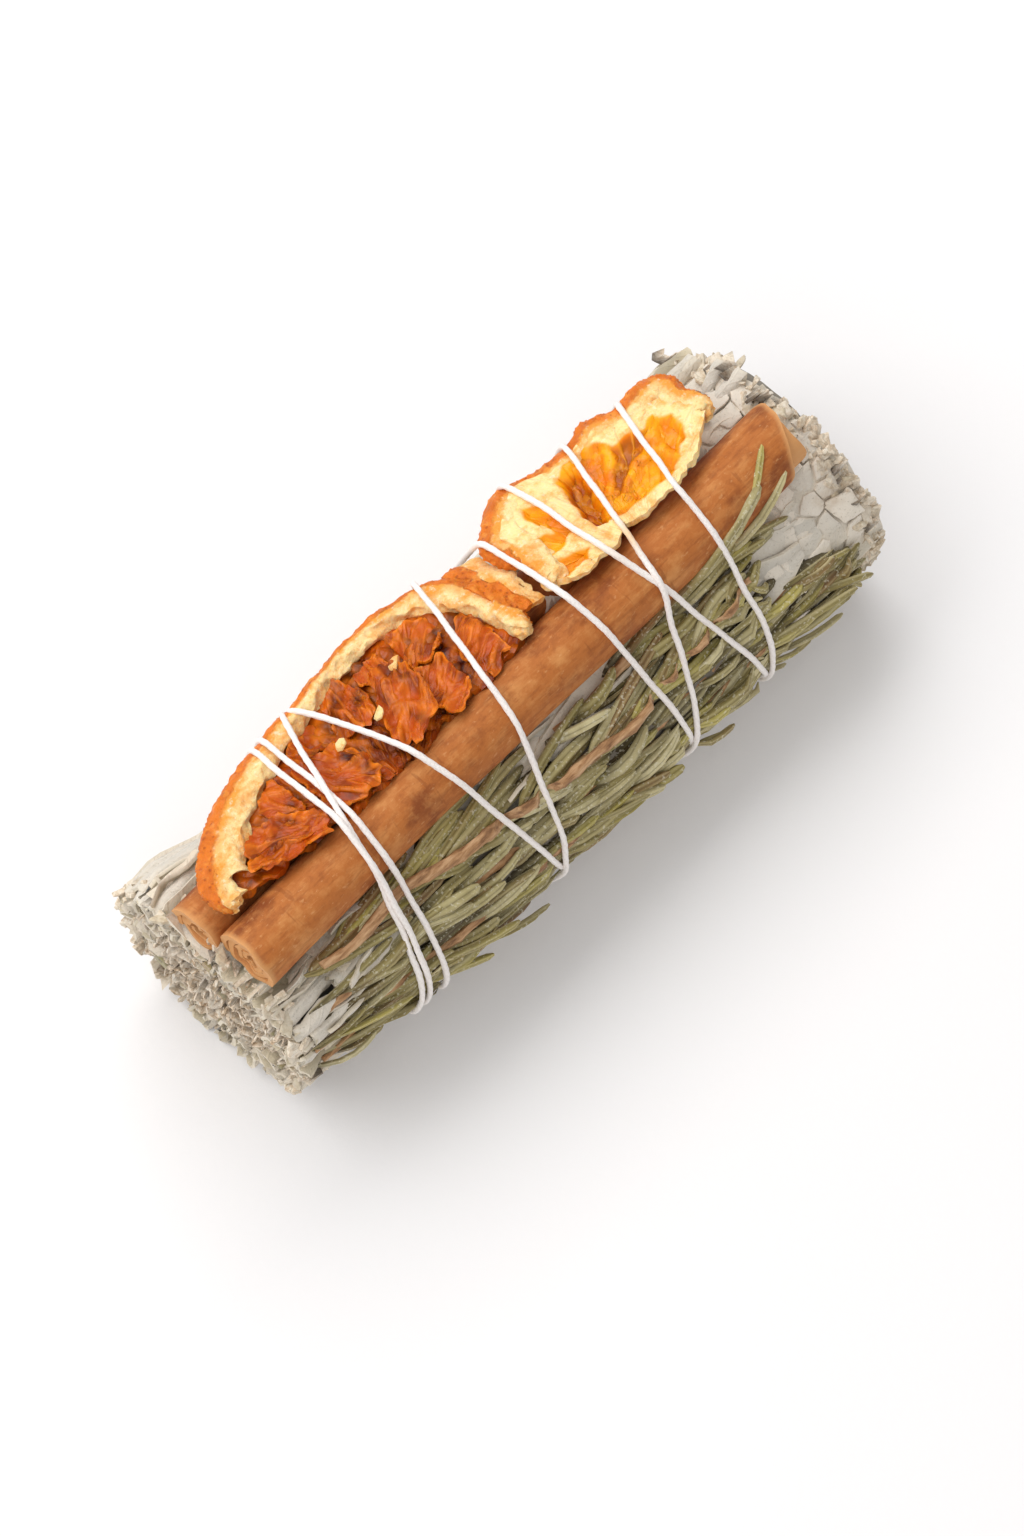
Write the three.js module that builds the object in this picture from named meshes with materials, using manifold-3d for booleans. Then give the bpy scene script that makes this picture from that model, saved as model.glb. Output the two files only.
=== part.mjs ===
// A sage smudge stick: sprigs of dried white sage pressed into a round bundle, two cinnamon quills and two
// dried orange slices laid along its top, rosemary sprigs along its front, all bound by one cotton string.
// Millimetres, +Z up. +X runs along the bundle from its near cut end to its far one, and +Y is the back.
// Round the bundle, an angle is in degrees from the top, growing towards the back.
import * as THREE from "three";
import { mergeVertices } from "three/addons/utils/BufferGeometryUtils.js";
import Module from "manifold-3d";

const wasm = await Module();
wasm.setup();

// Bundle of sage
const NEAR_END = -50.5;
const FAR_END = 50;
const NEAR_RADIUS = 16.4;
const FAR_RADIUS = 18.3;
const AXIS_HEIGHT = 16.2;
const NEAR_END_SLOPE = -0.9;
const FAR_END_SLOPE = 1.8;
const CLEARANCE = 0.3;
const SLIVER = 0.05;
const FLOOR = { length: 140, width: 60, depth: 20 };

// Sage sprigs: one in the middle and a ring of six, each a core of pressed leaves that blades stand out of
const RING_SPRIGS = ["top", "back_upper", "back_lower", "bottom", "front_lower", "front_upper"];
const SECTOR = 360 / RING_SPRIGS.length;
const MIDDLE_RADIUS = 6.9;
const CORE_SINK = 0.6;
const SAGE_STEM = { radius: 1.2, ring: 11.3, proud: 0.7, sides: 6 };
const SAGE_LEAF = { length: 40, halfWidth: 4.6, thickness: 0.8, root: -0.7, tipLift: 0.75, cup: 0.3 };
const LEAF_ENVELOPE = 0.8;
const LEAF_PROUD = 0.6;
const LEAF_ROWS = [-31, 0, 31];
const LEAF_STAGGER = 5;
const LEAF_COLUMN = 13.5;
const ROLL = { wall: 0.75, smallest: 1.35, largest: 1.95, sunk: 2.2, proud: 1.5, segments: 4 };
const ROLL_SPOTS = [[12.9, -17], [12.9, 17]];
const MIDDLE_ROLLS = { count: 3, ring: 4.1 };

// Cinnamon quills: scrolls of bark
const FRONT_QUILL = { y: -5.25, z: 35.8, radius: 4.2, from: -49.3, to: 44.3 };
const BACK_QUILL = { y: 2.6, z: 33.5, radius: 3.7, from: -50.2, to: 36.5 };
const BARK = { wall: 1.0, pitch: 1.35, turns: 1.7, stepsPerTurn: 16 };

// Orange slices: half discs that drape over the quills and down the back
const DRAPE = [[-2.6, 41.0], [0.8, 40.1], [4.4, 38.9], [9.0, 36.6], [13.6, 32.4], [16.9, 26.8]];
// Corners grow squarer as roundness falls, and slant is the share of the depth that is lost at the far end
const NEAR_SLICE = {
  x: -21.7, halfLength: 26, depth: 20, roundness: 0.85, slant: 0, lift: 0, valley: 0, valleyAt: 0,
};
const FAR_SLICE = {
  x: 23.4, halfLength: 17.8, depth: 19.4, roundness: 0.5, slant: 0.27, lift: 0.8, valley: 1.1, valleyAt: -3.4,
};
const RIND = { inner: 0.81, thickness: 3.0, roundSteps: 24, pore: 0.2 };
const PULP = { inner: 0.07, thickness: 1.9, segments: 6, stepsPerSegment: 4, deepSteps: 4, membrane: 0.55 };
const RIND_FLAP = { from: -0.4, to: 4.6, shallow: 4.5, deep: 12.5, thickness: 1.1 };

// Rosemary: each route is a list of [x, angle], from the cut foot to the tip
const ROSEMARY_ROUTES = [
  [[-8, -35], [4, -37], [16, -35], [30, -32]],
  [[-43, -33.5], [-29, -36.5], [-12, -46.5], [5, -53], [20, -48], [29, -44]],
  [[-47, -51], [-33, -55], [-15, -62], [5, -69], [22, -65], [37, -61]],
  [[-49, -69], [-30, -74], [0, -85], [22, -82], [42, -78]],
  [[-48, -87], [-22, -92], [8, -101], [24, -99], [40, -95]],
];
const ROSEMARY_EDGES = { upper: -28.5, lower: -113 };
const STEM = { height: 1.75, radius: 0.62, sides: 6, stepLength: 6 };
const NEEDLE = { length: 16, radius: 0.74, spacing: 3.7, lift: 0.4, margin: 1, overhang: 10 };

// Cotton string: where each turn passes the back edge, the top and the front edge
const STRING = { radius: 0.55, gap: 0.45, sides: 5, bedSides: 5, stepDegrees: 15, floorGap: 0.2, slack: 0.1 };
const BACK_EDGE = 75;
const FRONT_EDGE = 100;
const KNOT_ANGLE = 100;
const TURNS = [
  [-28.6, -29.4, -30.0], [-23.6, -19.0, -9.2], [6.8, 7.7, 14.0], [15.6, 15.5, 27.5], [34.5, 30.0, 27.3],
  [24.5, 19.0, 13.5], [2.2, -6.2, -9.6], [-24.4, -30.6, -34.6], [-30.3, -31.2, -33.0],
];
const ROSEMARY_TOP = 2.8;
const KNOT = { x: -29.4, radius: 1.5, tail: 7 };

const MATERIALS = {
  sage: new THREE.MeshStandardMaterial({ color: 0xa9aca0, roughness: 0.95, metalness: 0 }),
  bark: new THREE.MeshStandardMaterial({ color: 0xb0703f, roughness: 0.75, metalness: 0 }),
  rind: new THREE.MeshStandardMaterial({ color: 0xe9a44a, roughness: 0.7, metalness: 0 }),
  pulpDark: new THREE.MeshStandardMaterial({ color: 0xa6470f, roughness: 0.35, metalness: 0 }),
  pulpLight: new THREE.MeshStandardMaterial({ color: 0xe08a1e, roughness: 0.35, metalness: 0 }),
  rosemary: new THREE.MeshStandardMaterial({ color: 0x7d7d52, roughness: 0.85, metalness: 0 }),
  cotton: new THREE.MeshStandardMaterial({ color: 0xf2ece6, roughness: 0.95, metalness: 0 }),
};

const radians = THREE.MathUtils.degToRad;
const mix = THREE.MathUtils.lerp;

function seededRandom(seed) {
  let state = seed;
  return (low, high) => {
    state = (state * 1664525 + 1013904223) % 2 ** 32;
    return mix(low, high, state / 2 ** 32);
  };
}

function interpolate(knots, at) {
  const i = Math.max(1, knots.findIndex(([place]) => place >= at));
  const [[from, a], [to, b]] = [knots[i - 1], knots[i]];
  return mix(a, b, (at - from) / (to - from));
}

function bundleRadius(x) {
  return mix(NEAR_RADIUS, FAR_RADIUS, (x - NEAR_END) / (FAR_END - NEAR_END));
}

// A point given by its place along the bundle, its angle and its distance from the bundle's axis.
function polarPoint(x, degrees, radius) {
  const turn = radians(degrees);
  return new THREE.Vector3(x, radius * Math.sin(turn), AXIS_HEIGHT + radius * Math.cos(turn));
}

function onBundle(x, degrees, height) {
  return polarPoint(x, degrees, bundleRadius(x) + height);
}

// The cut ends lean back, so the bundle is a little shorter along its top.
function endOfBundle(isFar, point) {
  const rise = (point.z - AXIS_HEIGHT) / FAR_RADIUS;
  return isFar ? FAR_END - FAR_END_SLOPE * rise : NEAR_END + NEAR_END_SLOPE * rise;
}

function reshape(geometry, place) {
  const position = geometry.getAttribute("position");
  const point = new THREE.Vector3();
  for (let i = 0; i < position.count; i += 1) {
    const moved = place(point.fromBufferAttribute(position, i));
    position.setXYZ(i, moved.x, moved.y, moved.z);
  }
  return geometry;
}

function solidOf(geometry) {
  const bare = geometry.clone();
  bare.deleteAttribute("normal");
  bare.deleteAttribute("uv");
  const merged = mergeVertices(bare, 1e-4);
  return new wasm.Manifold(
    new wasm.Mesh({
      numProp: 3,
      vertProperties: merged.getAttribute("position").array,
      triVerts: new Uint32Array(merged.index.array),
    }),
  );
}

function fuse(solids) {
  return solids.reduce((whole, next) => whole.add(next));
}

// Joining and cutting can leave slivers, loose scraps and sealed gaps, which are dropped.
function largestBody(solid) {
  return solid.simplify(SLIVER).decompose().sort((a, b) => b.volume() - a.volume())[0];
}

function meshOf(name, solid, material) {
  const { vertProperties, triVerts } = solid.getMesh();
  const geometry = new THREE.BufferGeometry();
  geometry.setAttribute("position", new THREE.BufferAttribute(vertProperties, 3));
  geometry.setIndex(new THREE.BufferAttribute(triVerts, 1));
  geometry.computeVertexNormals();
  const mesh = new THREE.Mesh(geometry, material);
  mesh.name = name;
  return mesh;
}

// A run of points that a tube follows point by point.
class PointRun extends THREE.Curve {
  constructor(points) {
    super();
    this.points = points;
  }
  getPoint(t, target = new THREE.Vector3()) {
    const at = t * (this.points.length - 1);
    const i = Math.min(Math.floor(at), this.points.length - 2);
    return target.lerpVectors(this.points[i], this.points[i + 1], at - i);
  }
  getPointAt(u, target) {
    return this.getPoint(u, target);
  }
  getTangentAt(u, target = new THREE.Vector3()) {
    const step = 0.5 / (this.points.length - 1);
    const ahead = this.getPoint(Math.min(1, u + step));
    return target.subVectors(ahead, this.getPoint(Math.max(0, u - step))).normalize();
  }
}

function tube(curve, radius, sides, steps) {
  const section = new THREE.Shape();
  for (let i = 0; i < sides; i += 1) {
    const turn = (2 * Math.PI * i) / sides;
    section[i ? "lineTo" : "moveTo"](radius * Math.cos(turn), radius * Math.sin(turn));
  }
  return solidOf(new THREE.ExtrudeGeometry(section, { steps, extrudePath: curve, bevelEnabled: false }));
}

// The pressed leaves of one ring sprig: a sector of the bundle between the middle sprig and the surface.
function sprigCore(middle) {
  const block = new THREE.BoxGeometry(1, 1, 1, 6, 4, 1);
  return solidOf(
    reshape(block, (p) => {
      const inner = MIDDLE_RADIUS + CLEARANCE;
      const radius = p.z < 0 ? inner : bundleRadius(mix(NEAR_END, FAR_END, p.x + 0.5)) - CORE_SINK;
      const halfSector = SECTOR / 2 - THREE.MathUtils.radToDeg(CLEARANCE / 2 / radius);
      const degrees = middle + 2 * halfSector * p.y;
      const atMiddle = polarPoint(0, degrees, radius);
      const x = mix(endOfBundle(false, atMiddle), endOfBundle(true, atMiddle), p.x + 0.5);
      return polarPoint(x, degrees, radius);
    }),
  );
}

function middleCore() {
  const rod = new THREE.CylinderGeometry(MIDDLE_RADIUS, MIDDLE_RADIUS, 1, 12, 1).rotateZ(-Math.PI / 2);
  return solidOf(
    reshape(rod, (p) => {
      const at = new THREE.Vector3(0, p.y, AXIS_HEIGHT + p.z);
      return at.setX(mix(endOfBundle(false, at), endOfBundle(true, at), p.x + 0.5));
    }),
  );
}

function sageStem(degrees, ring) {
  const { radius, proud, sides } = SAGE_STEM;
  const rod = new THREE.CylinderGeometry(radius, radius, 1, sides, 1).rotateZ(-Math.PI / 2);
  const middle = polarPoint(0, degrees, ring);
  const from = endOfBundle(false, middle) - proud;
  const to = endOfBundle(true, middle) + proud;
  return solidOf(rod.scale(to - from, 1, 1).translate((from + to) / 2, middle.y, middle.z));
}

// One pressed leaf: a lance-shaped blade, cupped across, that lifts towards its tip like a shingle.
function sageLeaf(x, degrees, draw) {
  const { length, halfWidth, thickness, root, tipLift, cup } = SAGE_LEAF;
  const blade = new THREE.BoxGeometry(1, 1, 1, 3, 2, 1);
  const reach = length * draw(0.85, 1.05);
  const width = halfWidth * draw(0.85, 1);
  const wave = draw(0, 2 * Math.PI);
  return solidOf(
    reshape(blade, (p) => {
      const along = p.x + 0.5;
      const taper = 0.28 + 0.72 * Math.sin(Math.PI * along) ** 0.75;
      const across = 2 * p.y;
      const shaped = mix(root, tipLift - cup - thickness / 2, along) + cup * across ** 2;
      const height = Math.min(shaped + 0.12 * Math.sin(9 * along + wave), tipLift - thickness / 2);
      const foot = polarPoint(0, degrees, FAR_RADIUS);
      const [first, last] = [endOfBundle(false, foot) - LEAF_PROUD, endOfBundle(true, foot) + LEAF_PROUD];
      const at = THREE.MathUtils.clamp(x + p.x * reach, first, last);
      const turn = THREE.MathUtils.radToDeg((across * width * taper) / bundleRadius(at));
      return onBundle(at, degrees + turn, height + p.z * thickness);
    }),
  );
}

// A leaf that was rolled before the bundle was cut, seen end on.
function leafRoll(isFar, degrees, ring, draw) {
  const { wall, smallest, largest, sunk, proud, segments } = ROLL;
  const radius = draw(smallest, largest);
  const sweep = draw(3.6, 4.8);
  const section = new THREE.Shape();
  section.absarc(0, 0, radius, 0, sweep, false);
  section.absarc(0, 0, radius - wall, sweep, 0, true);
  const roll = new THREE.ExtrudeGeometry(section, {
    depth: sunk + draw(0.4, 1) * proud,
    steps: 1,
    curveSegments: segments,
    bevelEnabled: false,
  });
  const foot = polarPoint(0, degrees, ring);
  roll.rotateZ(draw(0, 2 * Math.PI)).rotateY(isFar ? Math.PI / 2 : -Math.PI / 2);
  return solidOf(roll.translate(endOfBundle(isFar, foot) + (isFar ? -sunk : sunk), foot.y, foot.z));
}

function ringSprig(index, cutters) {
  const draw = seededRandom(11 + index);
  const middle = index * SECTOR;
  const pieces = [sprigCore(middle), sageStem(middle, SAGE_STEM.ring)];
  LEAF_ROWS.forEach((row, i) => {
    [-LEAF_COLUMN, LEAF_COLUMN].forEach((column, j) => {
      const x = row + (j ? LEAF_STAGGER : -LEAF_STAGGER) * (i % 2 ? 1 : 0.6) + draw(-2, 2);
      pieces.push(sageLeaf(x, middle + column, draw));
    });
  });
  [false, true].forEach((isFar) => {
    ROLL_SPOTS.forEach(([ring, aside]) => pieces.push(leafRoll(isFar, middle + aside, ring, draw)));
  });
  return largestBody(cutters.reduce((body, cutter) => body.subtract(cutter), fuse(pieces)));
}

function middleSprig() {
  const draw = seededRandom(7);
  const pieces = [middleCore(), sageStem(0, 0)];
  [false, true].forEach((isFar) => {
    for (let i = 0; i < MIDDLE_ROLLS.count; i += 1) {
      pieces.push(leafRoll(isFar, (360 * (i + 0.5)) / MIDDLE_ROLLS.count, MIDDLE_ROLLS.ring, draw));
    }
  });
  return largestBody(fuse(pieces));
}

// A cinnamon quill: bark rolled into a scroll, open along its spiral.
function quill({ y, z, radius, from, to }, seam) {
  const { wall, pitch, turns, stepsPerTurn } = BARK;
  const steps = Math.round(turns * stepsPerTurn);
  const section = new THREE.Shape();
  const spiral = (i, inset) => {
    const turn = seam + (2 * Math.PI * turns * i) / steps;
    const reach = radius - (pitch * turns * i) / steps - inset;
    return [reach * Math.cos(turn), reach * Math.sin(turn)];
  };
  section.moveTo(...spiral(0, 0));
  for (let i = 1; i <= steps; i += 1) section.lineTo(...spiral(i, 0));
  for (let i = steps; i >= 0; i -= 1) section.lineTo(...spiral(i, wall));
  const scroll = new THREE.ExtrudeGeometry(section, { depth: to - from, steps: 1, bevelEnabled: false });
  return solidOf(scroll.rotateY(Math.PI / 2).translate(from, y, z));
}

// The bed that a quill presses into the sage below it.
function quillBed({ y, z, radius, from, to }) {
  const rod = new THREE.CylinderGeometry(radius + CLEARANCE, radius + CLEARANCE, to - from + 4, 14);
  return solidOf(rod.rotateZ(Math.PI / 2).translate((from + to) / 2, y, z));
}

const drapeCurve = new THREE.CatmullRomCurve3(DRAPE.map(([y, z]) => new THREE.Vector3(0, y, z)));
const drapeLength = drapeCurve.getLength();

// A point of a slice: along the bundle, down the drape, and out from the drape's middle surface.
function drapePoint(slice, along, deep, height) {
  const u = THREE.MathUtils.clamp(deep / drapeLength, 0, 1);
  const middle = drapeCurve.getPointAt(u);
  const tangent = drapeCurve.getTangentAt(u);
  const dip = slice.valley * Math.exp(-(((along - slice.valleyAt) / 4) ** 2));
  const out = height + slice.lift - dip;
  return new THREE.Vector3(slice.x + along, middle.y - tangent.z * out, middle.z + tangent.y * out);
}

// How deep a slice reaches at a share of its half length, from -1 to 1.
function sliceDepth(slice, share) {
  const round = Math.sqrt(Math.max(1 - share ** 2, 0)) ** slice.roundness;
  return slice.depth * round * (1 - slice.slant * THREE.MathUtils.smoothstep(share, -0.4, 0.4));
}

// Part of a half disc between two shares of its radius, laid on the drape.
function halfDisc(slice, inner, outer, thickness, roundSteps, deepSteps, relief) {
  const block = new THREE.BoxGeometry(1, 1, 1, roundSteps, deepSteps, 1);
  return reshape(block, (p) => {
    const turn = Math.PI * (p.x + 0.5);
    const reach = mix(inner, outer, p.y + 0.5);
    const { swell, rise } = relief(turn, p.y + 0.5, p.z > 0);
    const along = -Math.cos(turn) * slice.halfLength * (reach + swell);
    const deep = sliceDepth(slice, -Math.cos(turn)) * (reach + swell);
    return drapePoint(slice, along, deep, p.z * thickness + rise);
  });
}

// Peel with its pith, whose outer edge is puckered by the drying.
function rind(slice) {
  const pucker = (turn, share) => ({
    swell: share > 0.9 ? (RIND.pore / slice.depth) * Math.sin(13 * turn) : 0,
    rise: 0.25 * Math.sin(5 * turn + 1) * (share - 0.5),
  });
  return solidOf(halfDisc(slice, RIND.inner, 1, RIND.thickness, RIND.roundSteps, 2, pucker));
}

// Flesh: juice segments that bulge between membranes, with small crumpled sacs.
function pulp(slice) {
  const { inner, thickness, segments, stepsPerSegment, deepSteps, membrane } = PULP;
  const outer = RIND.inner - CLEARANCE / slice.halfLength - 0.004;
  const crumple = (turn, share, isTop) => {
    const bulge = Math.abs(Math.sin(segments * turn)) ** 0.6 - 0.5;
    const sacs = 0.3 * Math.sin(17 * turn + 3) * Math.sin(9 * share + 2 * turn);
    return { swell: 0, rise: isTop ? membrane * bulge + sacs : 0 };
  };
  const steps = segments * stepsPerSegment;
  return solidOf(halfDisc(slice, inner, outer, thickness, steps, deepSteps, crumple));
}

// The loose end of the near slice's rind, which curls up and away from it.
function rindFlap(slice) {
  const { from, to, shallow, deep, thickness } = RIND_FLAP;
  const sheet = new THREE.BoxGeometry(1, 1, 1, 3, 3, 1);
  return solidOf(
    reshape(sheet, (p) => {
      const along = mix(from, to, p.x + 0.5) - slice.x;
      const down = mix(shallow, deep, p.y + 0.5);
      const curl = 1.6 * (p.x + 0.5) ** 0.7 - 0.5 * (2 * p.y) ** 2;
      return drapePoint(slice, along, down, p.z * thickness + curl);
    }),
  );
}

// One rosemary needle: three-sided, widest near its middle, leaning off the stem.
function needle(foot, tip, lift) {
  const { radius } = NEEDLE;
  const cone = new THREE.ConeGeometry(radius * 0.55, 1, 3, 2);
  return solidOf(
    reshape(cone, (p) => {
      const share = p.y + 0.5;
      const fat = share > 0.4 && share < 0.6 ? 3.4 : 1;
      const x = mix(foot.x, tip.x, share);
      const degrees = mix(foot.degrees, tip.degrees, share ** 0.7);
      const height = STEM.height + lift * Math.sin((share * Math.PI) / 2);
      const turn = THREE.MathUtils.radToDeg((p.x * fat) / bundleRadius(x));
      return onBundle(x, degrees - turn, height + p.z * fat * 0.8);
    }),
  );
}

// The angle of a sprig's stem at one place along the bundle, held beyond the stem's ends.
function routeAngle(route, x) {
  return interpolate(route, THREE.MathUtils.clamp(x, route[0][0], route.at(-1)[0]));
}

// How far a sprig's needles may lean at one place: half way to the next stem, on either side.
function leanLimit(index, x, side) {
  const { upper, lower } = ROSEMARY_EDGES;
  const next = ROSEMARY_ROUTES[index - side];
  const own = routeAngle(ROSEMARY_ROUTES[index], x);
  const starts = next && x > next[0][0] - NEEDLE.spacing;
  if (!starts) return side > 0 ? upper : lower;
  return (own + routeAngle(next, x)) / 2 - side * NEEDLE.margin;
}

function rosemarySprig(route, index) {
  const draw = seededRandom(31 + index);
  const line = new THREE.CatmullRomCurve3(route.map(([x, degrees]) => new THREE.Vector3(x, degrees, 0)));
  const stemSteps = Math.round(line.getLength() / STEM.stepLength);
  const stemPoints = line.getSpacedPoints(stemSteps).map(({ x, y }) => onBundle(x, y, STEM.height));
  const pieces = [tube(new PointRun(stemPoints), STEM.radius, STEM.sides, stemSteps)];
  const count = Math.round(line.getLength() / NEEDLE.spacing);
  for (let i = 0; i < count; i += 1) {
    const foot = line.getPointAt((i + 0.5) / count);
    const side = i % 2 ? 1 : -1;
    const furthest = route.at(-1)[0] + NEEDLE.overhang * draw(0.5, 1);
    const end = Math.min(foot.x + NEEDLE.length * draw(0.75, 1.1), furthest);
    const limit = leanLimit(index, end, side);
    const tip = { x: end, degrees: mix(routeAngle(route, end), limit, draw(0.4, 0.95)) };
    pieces.push(needle({ x: foot.x, degrees: foot.y }, tip, NEEDLE.lift * draw(-0.2, 1)));
  }
  return largestBody(fuse(pieces));
}

// What the string has to pass over at one place along the bundle, as circles in the section there.
function sectionCircles(x) {
  const circles = [{ y: 0, z: AXIS_HEIGHT, radius: bundleRadius(x) + LEAF_ENVELOPE }];
  [FRONT_QUILL, BACK_QUILL].forEach((q) => {
    if (x > q.from && x < q.to) circles.push(q);
  });
  [NEAR_SLICE, FAR_SLICE].forEach((slice) => {
    const share = (x - slice.x) / (slice.halfLength + 2 * STRING.radius);
    for (let i = 0; Math.abs(share) < 1 && i <= 8; i += 1) {
      const { y, z } = drapePoint(slice, x - slice.x, (sliceDepth(slice, share) * i) / 8, 0);
      circles.push({ y, z, radius: RIND.thickness / 2 + 0.2 });
    }
  });
  for (let degrees = ROSEMARY_EDGES.upper; degrees >= ROSEMARY_EDGES.lower; degrees -= 4) {
    const { y, z } = onBundle(x, degrees, ROSEMARY_TOP - 0.9);
    circles.push({ y, z, radius: 0.9 });
  }
  return circles;
}

// Where a taut string lies on that section when it faces the given angle.
function tautPoint(x, degrees) {
  const out = { y: Math.sin(radians(degrees)), z: Math.cos(radians(degrees)) };
  const reach = (c) => c.y * out.y + c.z * out.z + c.radius;
  const rest = sectionCircles(x).reduce((best, next) => (reach(next) > reach(best) ? next : best));
  const far = rest.radius + STRING.gap + STRING.radius;
  const lowest = STRING.radius + STRING.floorGap;
  return new THREE.Vector3(x, rest.y + far * out.y, Math.max(rest.z + far * out.z, lowest));
}

// The string's centre line: it goes round and round, and between the named places it runs straight.
function stringLine() {
  const edges = TURNS.flatMap(([back, top, front], i) => [
    [360 * i - BACK_EDGE, back],
    [360 * i, top],
    [360 * i + FRONT_EDGE, front],
  ]);
  const first = [-KNOT_ANGLE, KNOT.x];
  const last = [360 * TURNS.length - KNOT_ANGLE, KNOT.x];
  const named = [first, ...edges, last];
  const turns = [];
  for (let turn = first[0]; turn <= last[0]; turn += STRING.stepDegrees) turns.push(turn);
  let points = turns.map((turn) => tautPoint(interpolate(named, turn), -turn));
  for (let pass = 0; pass < 2; pass += 1) {
    let run = 0;
    const runs = points.map((p, i) => {
      run += i ? Math.hypot(p.y - points[i - 1].y, p.z - points[i - 1].z) : 0;
      return run;
    });
    const runAt = turns.map((turn, i) => [turn, runs[i]]);
    const placed = named.map(([turn, x]) => [interpolate(runAt, Math.min(turn, turns.at(-1))), x]);
    points = turns.map((turn, i) => tautPoint(interpolate(placed, runs[i]), -turn));
  }
  return points;
}

// Where a later turn meets an earlier one it passes over it, one layer out. Under the bundle it passes inside.
function liftOver(points) {
  const pitch = 2 * STRING.radius + STRING.slack;
  const perTurn = 360 / STRING.stepDegrees;
  const stretches = points.slice(1).map((p, i) => new THREE.Line3(points[i], p));
  const layers = points.map(() => 0);
  stretches.forEach((later, i) => {
    for (let j = 0; j < i - perTurn / 2; j += 1) {
      if (later.distanceSqToLine3(stretches[j]) < pitch ** 2) {
        const over = Math.max(layers[j], layers[j + 1]) + 1;
        layers[i] = Math.max(layers[i], over);
        layers[i + 1] = Math.max(layers[i + 1], over);
      }
    }
  });
  return points.map((p, i) => {
    const out = new THREE.Vector3(0, p.y, p.z - AXIS_HEIGHT).normalize();
    const isUnder = p.z < AXIS_HEIGHT / 2;
    return p.clone().addScaledVector(out, (isUnder ? -1 : 1) * pitch * layers[i]);
  });
}

// The knot that ties the string's two ends behind the bundle, with its short tails.
function knot(line) {
  const ends = [line[0], line.at(-1)];
  const middle = ends[0].clone().lerp(ends[1], 0.5);
  const ball = new THREE.IcosahedronGeometry(KNOT.radius, 1).scale(1.2, 0.8, 1.1);
  const pieces = [solidOf(ball.translate(middle.x, middle.y, middle.z))];
  [-1, 1].forEach((side) => {
    const tail = [0, 0.35, 0.7, 1].map((share) =>
      onBundle(middle.x + side * KNOT.tail * 0.6 * share, KNOT_ANGLE + 14 * share, LEAF_ENVELOPE + 1.2),
    );
    tail[0].copy(middle);
    pieces.push(tube(new PointRun(tail), STRING.radius, STRING.sides, tail.length - 1));
  });
  return pieces;
}

const line = liftOver(stringLine());
const run = new PointRun(line);
const string = fuse([tube(run, STRING.radius, STRING.sides, line.length - 1), ...knot(line)]);
const stringBed = tube(run, STRING.radius + 2 * CLEARANCE, STRING.bedSides, line.length - 1);
const floorBlock = new THREE.BoxGeometry(FLOOR.length, FLOOR.width, FLOOR.depth);
const floor = solidOf(floorBlock.translate(0, 0, -FLOOR.depth / 2));
const beds = [quillBed(FRONT_QUILL), quillBed(BACK_QUILL), floor, stringBed];

const stick = new THREE.Group();
stick.add(meshOf("sage_sprig_middle", middleSprig(), MATERIALS.sage));
RING_SPRIGS.forEach((place, i) => {
  stick.add(meshOf(`sage_sprig_${place}`, ringSprig(i, beds), MATERIALS.sage));
});
stick.add(meshOf("cinnamon_quill_front", quill(FRONT_QUILL, radians(200)), MATERIALS.bark));
stick.add(meshOf("cinnamon_quill_back", quill(BACK_QUILL, radians(120)), MATERIALS.bark));
stick.add(meshOf("orange_near_rind", rind(NEAR_SLICE).add(rindFlap(NEAR_SLICE)), MATERIALS.rind));
stick.add(meshOf("orange_near_pulp", pulp(NEAR_SLICE), MATERIALS.pulpDark));
stick.add(meshOf("orange_far_rind", rind(FAR_SLICE), MATERIALS.rind));
stick.add(meshOf("orange_far_pulp", pulp(FAR_SLICE), MATERIALS.pulpLight));
ROSEMARY_ROUTES.forEach((route, i) => {
  stick.add(meshOf(`rosemary_sprig_${i + 1}`, rosemarySprig(route, i), MATERIALS.rosemary));
});
stick.add(meshOf("cotton_string", string, MATERIALS.cotton));

// The origin is under the middle of the whole stick, on the surface that it lies on.
const box = new THREE.Box3().setFromObject(stick);
const centre = box.getCenter(new THREE.Vector3());
stick.position.set(-centre.x, -centre.y, -box.min.z);

export default stick;
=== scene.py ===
"""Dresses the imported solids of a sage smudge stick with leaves, bark, orange, rosemary and string.

Forming lengths are millimetres in the bundle's own frame: +X runs from the near cut end to the far one,
and an angle is in degrees from the top, growing towards the back (+Y). Finished pieces are in metres.
"""
import math

import bpy
import numpy as np
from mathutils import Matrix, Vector
from mathutils.kdtree import KDTree


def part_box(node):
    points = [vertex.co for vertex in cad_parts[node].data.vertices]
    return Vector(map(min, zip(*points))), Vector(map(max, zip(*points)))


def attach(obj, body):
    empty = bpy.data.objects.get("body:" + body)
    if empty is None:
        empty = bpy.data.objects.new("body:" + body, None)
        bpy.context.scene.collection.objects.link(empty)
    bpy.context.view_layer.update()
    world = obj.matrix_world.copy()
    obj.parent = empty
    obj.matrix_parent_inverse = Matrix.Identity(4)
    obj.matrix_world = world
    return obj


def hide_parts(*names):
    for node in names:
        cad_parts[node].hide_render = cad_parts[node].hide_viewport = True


bl_info = {
    "name": "Sage smudge stick",
    "version": (1, 0, 0),
    "blender": (4, 5, 0),
    "location": "View3D > Sidebar > Smudge stick",
    "description": "Makes a smudge stick's leaves, bark, fruit, needles and string on its packed solids",
    "category": "Object",
}

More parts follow.
